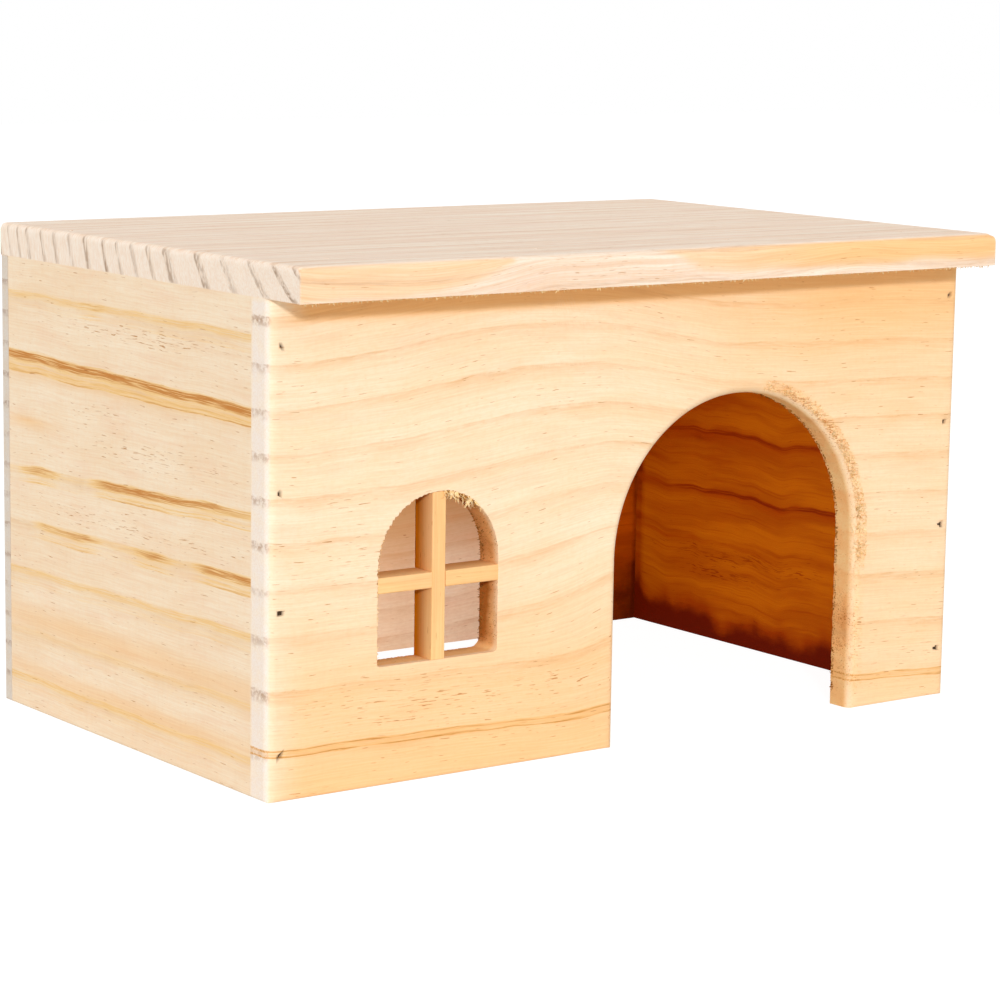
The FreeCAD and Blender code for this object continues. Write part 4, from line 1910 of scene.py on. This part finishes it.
@dataclass
class Studio:
    """White room: floor, world, a low key from the front left, a fill inside, and the camera."""

    sky_level: float = 0.5
    sky_slope: tuple[float, float, float] = (-0.38, -0.32, 0.65)
    key_azimuth: float = -33.0
    key_elevation: float = 18.1
    key_level: float = 1.55
    key_angle: float = 5.0
    fill_place: tuple[float, float, float] = (-0.136, 0.0, 0.055)
    fill_power: float = 0.52
    fill_size: float = 0.11
    floor_half: float = 4.0
    floor_glow: float = 0.96
    lens: float = 114.84
    camera_place: tuple[float, float, float] = (-0.682162, -0.928571, 0.264079)
    camera_azimuth: float = -36.36
    camera_elevation: float = 9.321
    camera_roll: float = 0.87
    sensor: float = 36.0

    def build(self, room: list[bpy.types.Object]) -> None:
        """Makes the floor, the world, the lamps and the camera.

        Args:
            room: Boards whose inner faces the fill lights in place of the key.
        """
        bpy.context.scene.view_settings.view_transform = "Standard"
        self.floor()
        self.world()
        self.key(room)
        self.fill(room)
        self.camera()

    def direction(self, azimuth: float, elevation: float) -> Vector:
        """Unit vector towards a place, from its angles in degrees."""
        turn, rise = math.radians(azimuth), math.radians(elevation)
        return Vector((math.sin(turn) * math.cos(rise), -math.cos(turn) * math.cos(rise), math.sin(rise)))

    def seen(self, shader: Shader) -> Socket:
        """One for rays that show the surroundings: from the camera or by a reflection.

        Args:
            shader: Node tree that asks.

        Returns:
            One or zero.
        """
        path = shader.add("LightPath").node
        total = shader.calc("MAXIMUM", path.outputs["Is Camera Ray"], path.outputs["Is Glossy Ray"])
        return shader.calc("MAXIMUM", total, path.outputs["Is Transmission Ray"])

    def floor(self) -> None:
        """Pale floor: white to the camera apart from a faint shadow, and matt to the light."""
        half = self.floor_half
        mesh = bpy.data.meshes.new("floor")
        corners = [(-half, -half, 0), (half, -half, 0), (half, half, 0), (-half, half, 0)]
        mesh.from_pydata(corners, [], [(0, 1, 2, 3)])
        floor = bpy.data.objects.new("floor", mesh)
        bpy.context.scene.collection.objects.link(floor)
        material = bpy.data.materials.new("white_studio_floor")
        paper = Shader(material)
        matt = paper.add("BsdfDiffuse", {}, {"Color": linear("#E0DAD0")})
        pale = paper.add("BsdfDiffuse", {}, {"Color": linear("#6E6E6E")})
        glow = paper.add("Emission", {}, {"Color": linear("#FFFFFF"), "Strength": self.floor_glow})
        white = paper.add("AddShader", {}, {0: pale, 1: glow})
        paper.finish(paper.add("MixShader", {}, {0: self.seen(paper), 1: matt, 2: white}))
        floor.data.materials.append(material)

    def world(self) -> None:
        """White light, stronger from above and from the front left, before a white background."""
        world = bpy.data.worlds.new("white_room")
        bpy.context.scene.world = world
        sky = Shader(world)
        way = sky.add("TexCoord", output="Generated")
        slope = sky.add("VectorMath", {"operation": "DOT_PRODUCT"}, {0: way, 1: self.sky_slope}, "Value")
        level = sky.calc("MULTIPLY_ADD", slope, self.sky_level, self.sky_level)
        light = sky.add("Background", {}, {"Color": linear("#FFFFFF"), "Strength": level})
        white = sky.add("Background", {}, {"Color": linear("#FFFFFF"), "Strength": 1.0})
        sky.finish(sky.add("MixShader", {}, {0: self.seen(sky), 1: light, 2: white}))

    def lamp(self, name: str, kind: str, way: Vector) -> bpy.types.Object:
        """A lamp that shines against the given direction.

        Args:
            name: Its name.
            kind: Its type.
            way: Direction from the object towards it.

        Returns:
            The lamp.
        """
        lamp = bpy.data.objects.new(name, bpy.data.lights.new(name, kind))
        bpy.context.scene.collection.objects.link(lamp)
        lamp.rotation_mode = "QUATERNION"
        lamp.rotation_quaternion = way.to_track_quat("Z", "Y")
        return lamp

    def receivers(self, lamp: bpy.types.Object, room: list[bpy.types.Object], state: str) -> None:
        """Keeps a lamp to the given boards, or off them.

        Args:
            lamp: The lamp.
            room: The boards.
            state: Whether they are included or excluded.
        """
        group = bpy.data.collections.new(lamp.name + "_receivers")
        lamp.light_linking.receiver_collection = group
        for number, board in enumerate(room):
            group.objects.link(board)
            group.collection_objects[number].light_linking.link_state = state

    def key(self, room: list[bpy.types.Object]) -> None:
        """Low lamp that throws the roof's narrow shadow on the front.

        Args:
            room: Boards that it leaves out.
        """
        lamp = self.lamp("key", "SUN", self.direction(self.key_azimuth, self.key_elevation))
        lamp.data.energy = self.key_level
        lamp.data.angle = math.radians(self.key_angle)
        self.receivers(lamp, room, "EXCLUDE")

    def fill(self, room: list[bpy.types.Object]) -> None:
        """Soft lamp inside, which stands for light thrown back by the white floor around.

        Args:
            room: Boards that it lights.
        """
        lamp = self.lamp("fill", "AREA", Vector((-1, 0, 0)))
        lamp.location = self.fill_place
        lamp.data.size = self.fill_size
        lamp.data.energy = self.fill_power
        lamp.visible_camera = False
        self.receivers(lamp, room, "INCLUDE")

    def camera(self) -> None:
        """Camera at the photograph's place, solved from the straight edges of the boards."""
        data = bpy.data.cameras.new("camera")
        data.sensor_width = self.sensor
        data.lens = self.lens
        data.clip_start = 0.05
        data.clip_end = 50.0
        camera = bpy.data.objects.new("camera", data)
        bpy.context.scene.collection.objects.link(camera)
        back = self.direction(self.camera_azimuth, self.camera_elevation)
        level_right = Vector((0, 0, 1)).cross(back).normalized()
        right = Matrix.Rotation(math.radians(self.camera_roll), 3, back) @ level_right
        up = back.cross(right)
        turn = Matrix((right, up, back)).transposed()
        camera.matrix_world = Matrix.Translation(self.camera_place) @ turn.to_4x4()
        bpy.context.scene.camera = camera


def main() -> None:
    """Builds the boards and the torn wood, dresses the bars and the brads, and builds the studio, in that
    order.
    """
    logging.basicConfig(level=logging.INFO, format="%(name)s: %(message)s")
    finishes = pine_finishes()
    front = FrontPanel(
        "front_panel", finishes["front"], "pine_panel",
        ring_heights=(-14, 0, 17, 37, 54.5, 70, 85, 99.5, 113.5, 127.5, 141.5, 156, 171),
        streaks=(Streak(17.0),),
        pore_level=0.14,
        pore_patches=(
            Patch((-85, 27), (75, 9), 0.8), Patch((-60, 11), (60, 3), 0.5), Patch((-130, 73), (22, 12), 0.7),
            Patch((-124, 96), (16, 2), 0.7), Patch((120, 20), (30, 14), 0.5),
        ),
    )
    left = SidePanel(
        "left_side_panel", finishes["left"], "pine_side", fibre_axis=1, outward=-1,
        ring_heights=(-20, -5, 12.5, 30.5, 53.5, 71.5, 93, 126.5, 150.5, 170),
        tilts=((0, 0.0), (12.5, -0.006), (30.5, -0.012), (53.5, -0.017), (71.5, -0.02), (93, -0.036),
               (126.5, 0.016), (150.5, 0.0), (163, 0.0)),
        streaks=(
            Streak(12.5, ((-70, 0.3), (90, 0.35))),
            Streak(30.5, ((-70, 0.25), (90, 0.15))),
            Streak(53.5, ((-70, 0.35), (90, 0.3))),
            Streak(71.5, ((-70, 0.9), (-45, 0.8), (-32, 0.2), (-24, 0.25), (-12, 0.8), (-6, 0.8), (6, 0.3),
                          (24, 0.25), (36, 0.8), (50, 0.6), (68, 0.5), (78, 0.1))),
            Streak(93.0, ((-70, 0.5), (-42, 0.8), (-22, 0.9), (12, 0.9), (24, 0.8), (36, 0.2), (54, 0.25),
                          (66, 0.7), (76, 0.7), (88, 0.2))),
            Streak(126.5, ((-70, 1.0), (90, 0.95))),
            Streak(150.5, ((-70, 0.35), (22, 0.3), (29, 0.6), (33, 0.6), (42, 0.3), (90, 0.3))),
        ),
        pore_level=0.2,
        pore_patches=(
            Patch((-10, 143), (70, 3.5), 1.0), Patch((-10, 103), (45, 4), 1.0), Patch((10, 77), (60, 3), 0.9),
            Patch((28, 114), (22, 3), 0.8), Patch((0, 119), (10, 2), 0.8),
        ),
        blush_patches=(
            Patch((78, 105), (16, 2), 0.7), Patch((10, 34), (160, 5), 0.5), Patch((10, 14.5), (160, 3), 0.5),
            Patch((10, 123), (160, 2.5), 0.5),
        ),
    )
    right = SidePanel(
        "right_side_panel", finishes["right"], "pine_side", fibre_axis=1, outward=1, wave=1.4,
        ring_heights=(-20, -5, 12, 27, 39, 60.5, 84.5, 104, 123, 140, 155, 170),
        tilts=((0, 0.0), (27, 0.02), (38, 0.024), (60, 0.0), (163, 0.0)),
        streaks=(
            Streak(36.5, ((-60, 0.0), (10, 0.2), (90, 0.4))),
            Streak(60.3, ((-70, 0.7), (30, 0.9), (70, 0.7), (90, 0.3))),
            Streak(84.5, ((-70, 0.5), (0, 0.7), (40, 0.8), (80, 0.6), (90, 0.2))),
        ),
        outer_fade=0.85,
        pore_level=0.0,
        pore_patches=(Patch((28, 35), (52, 3.2), 2.3), Patch((36, 27), (30, 2.4), 2.0)),
    )
    back = BackPanel(
        "back_panel", finishes["back"], "pine_panel", pore_level=0.05,
        ring_heights=tuple(range(-10, 190, 11)),
    )
    roof = RoofBoard(
        "roof_board", finishes["roof"], "pine_roof", pore_level=0.12,
        ring_heights=(-42, -30, -19, -6, 9, 26.5, 43, 64.5, 75.5, 86.5, 96, 106, 119.5, 130.5, 141.5, 150,
                      161, 167.5, 174, 181, 190),
        pore_patches=(Patch((-35, 168), (26, 6), 0.6),),
    )
    pieces = {board.node: board.build() for board in (front, back, left, right, roof)}
    TornWood(front, finishes["fibres"], finishes["shaded_fibres"]).build()
    for node, grain in (("window_bar_upright", Grain.UPRIGHT), ("window_bar_across", Grain.ACROSS)):
        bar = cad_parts[node]
        bar.data.materials.clear()
        bar.data.materials.append(finishes["bars"].material(grain))
        log.info("%s: dressed", node)
    wire = FlatWire().material()
    for node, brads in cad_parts.items():
        if node.endswith("_brads"):
            brads.data.materials.clear()
            brads.data.materials.append(wire)
            log.info("%s: dressed", node)
    Studio().build([pieces["right_side_panel"], pieces["back_panel"]])


if __name__ == "__main__":
    main()
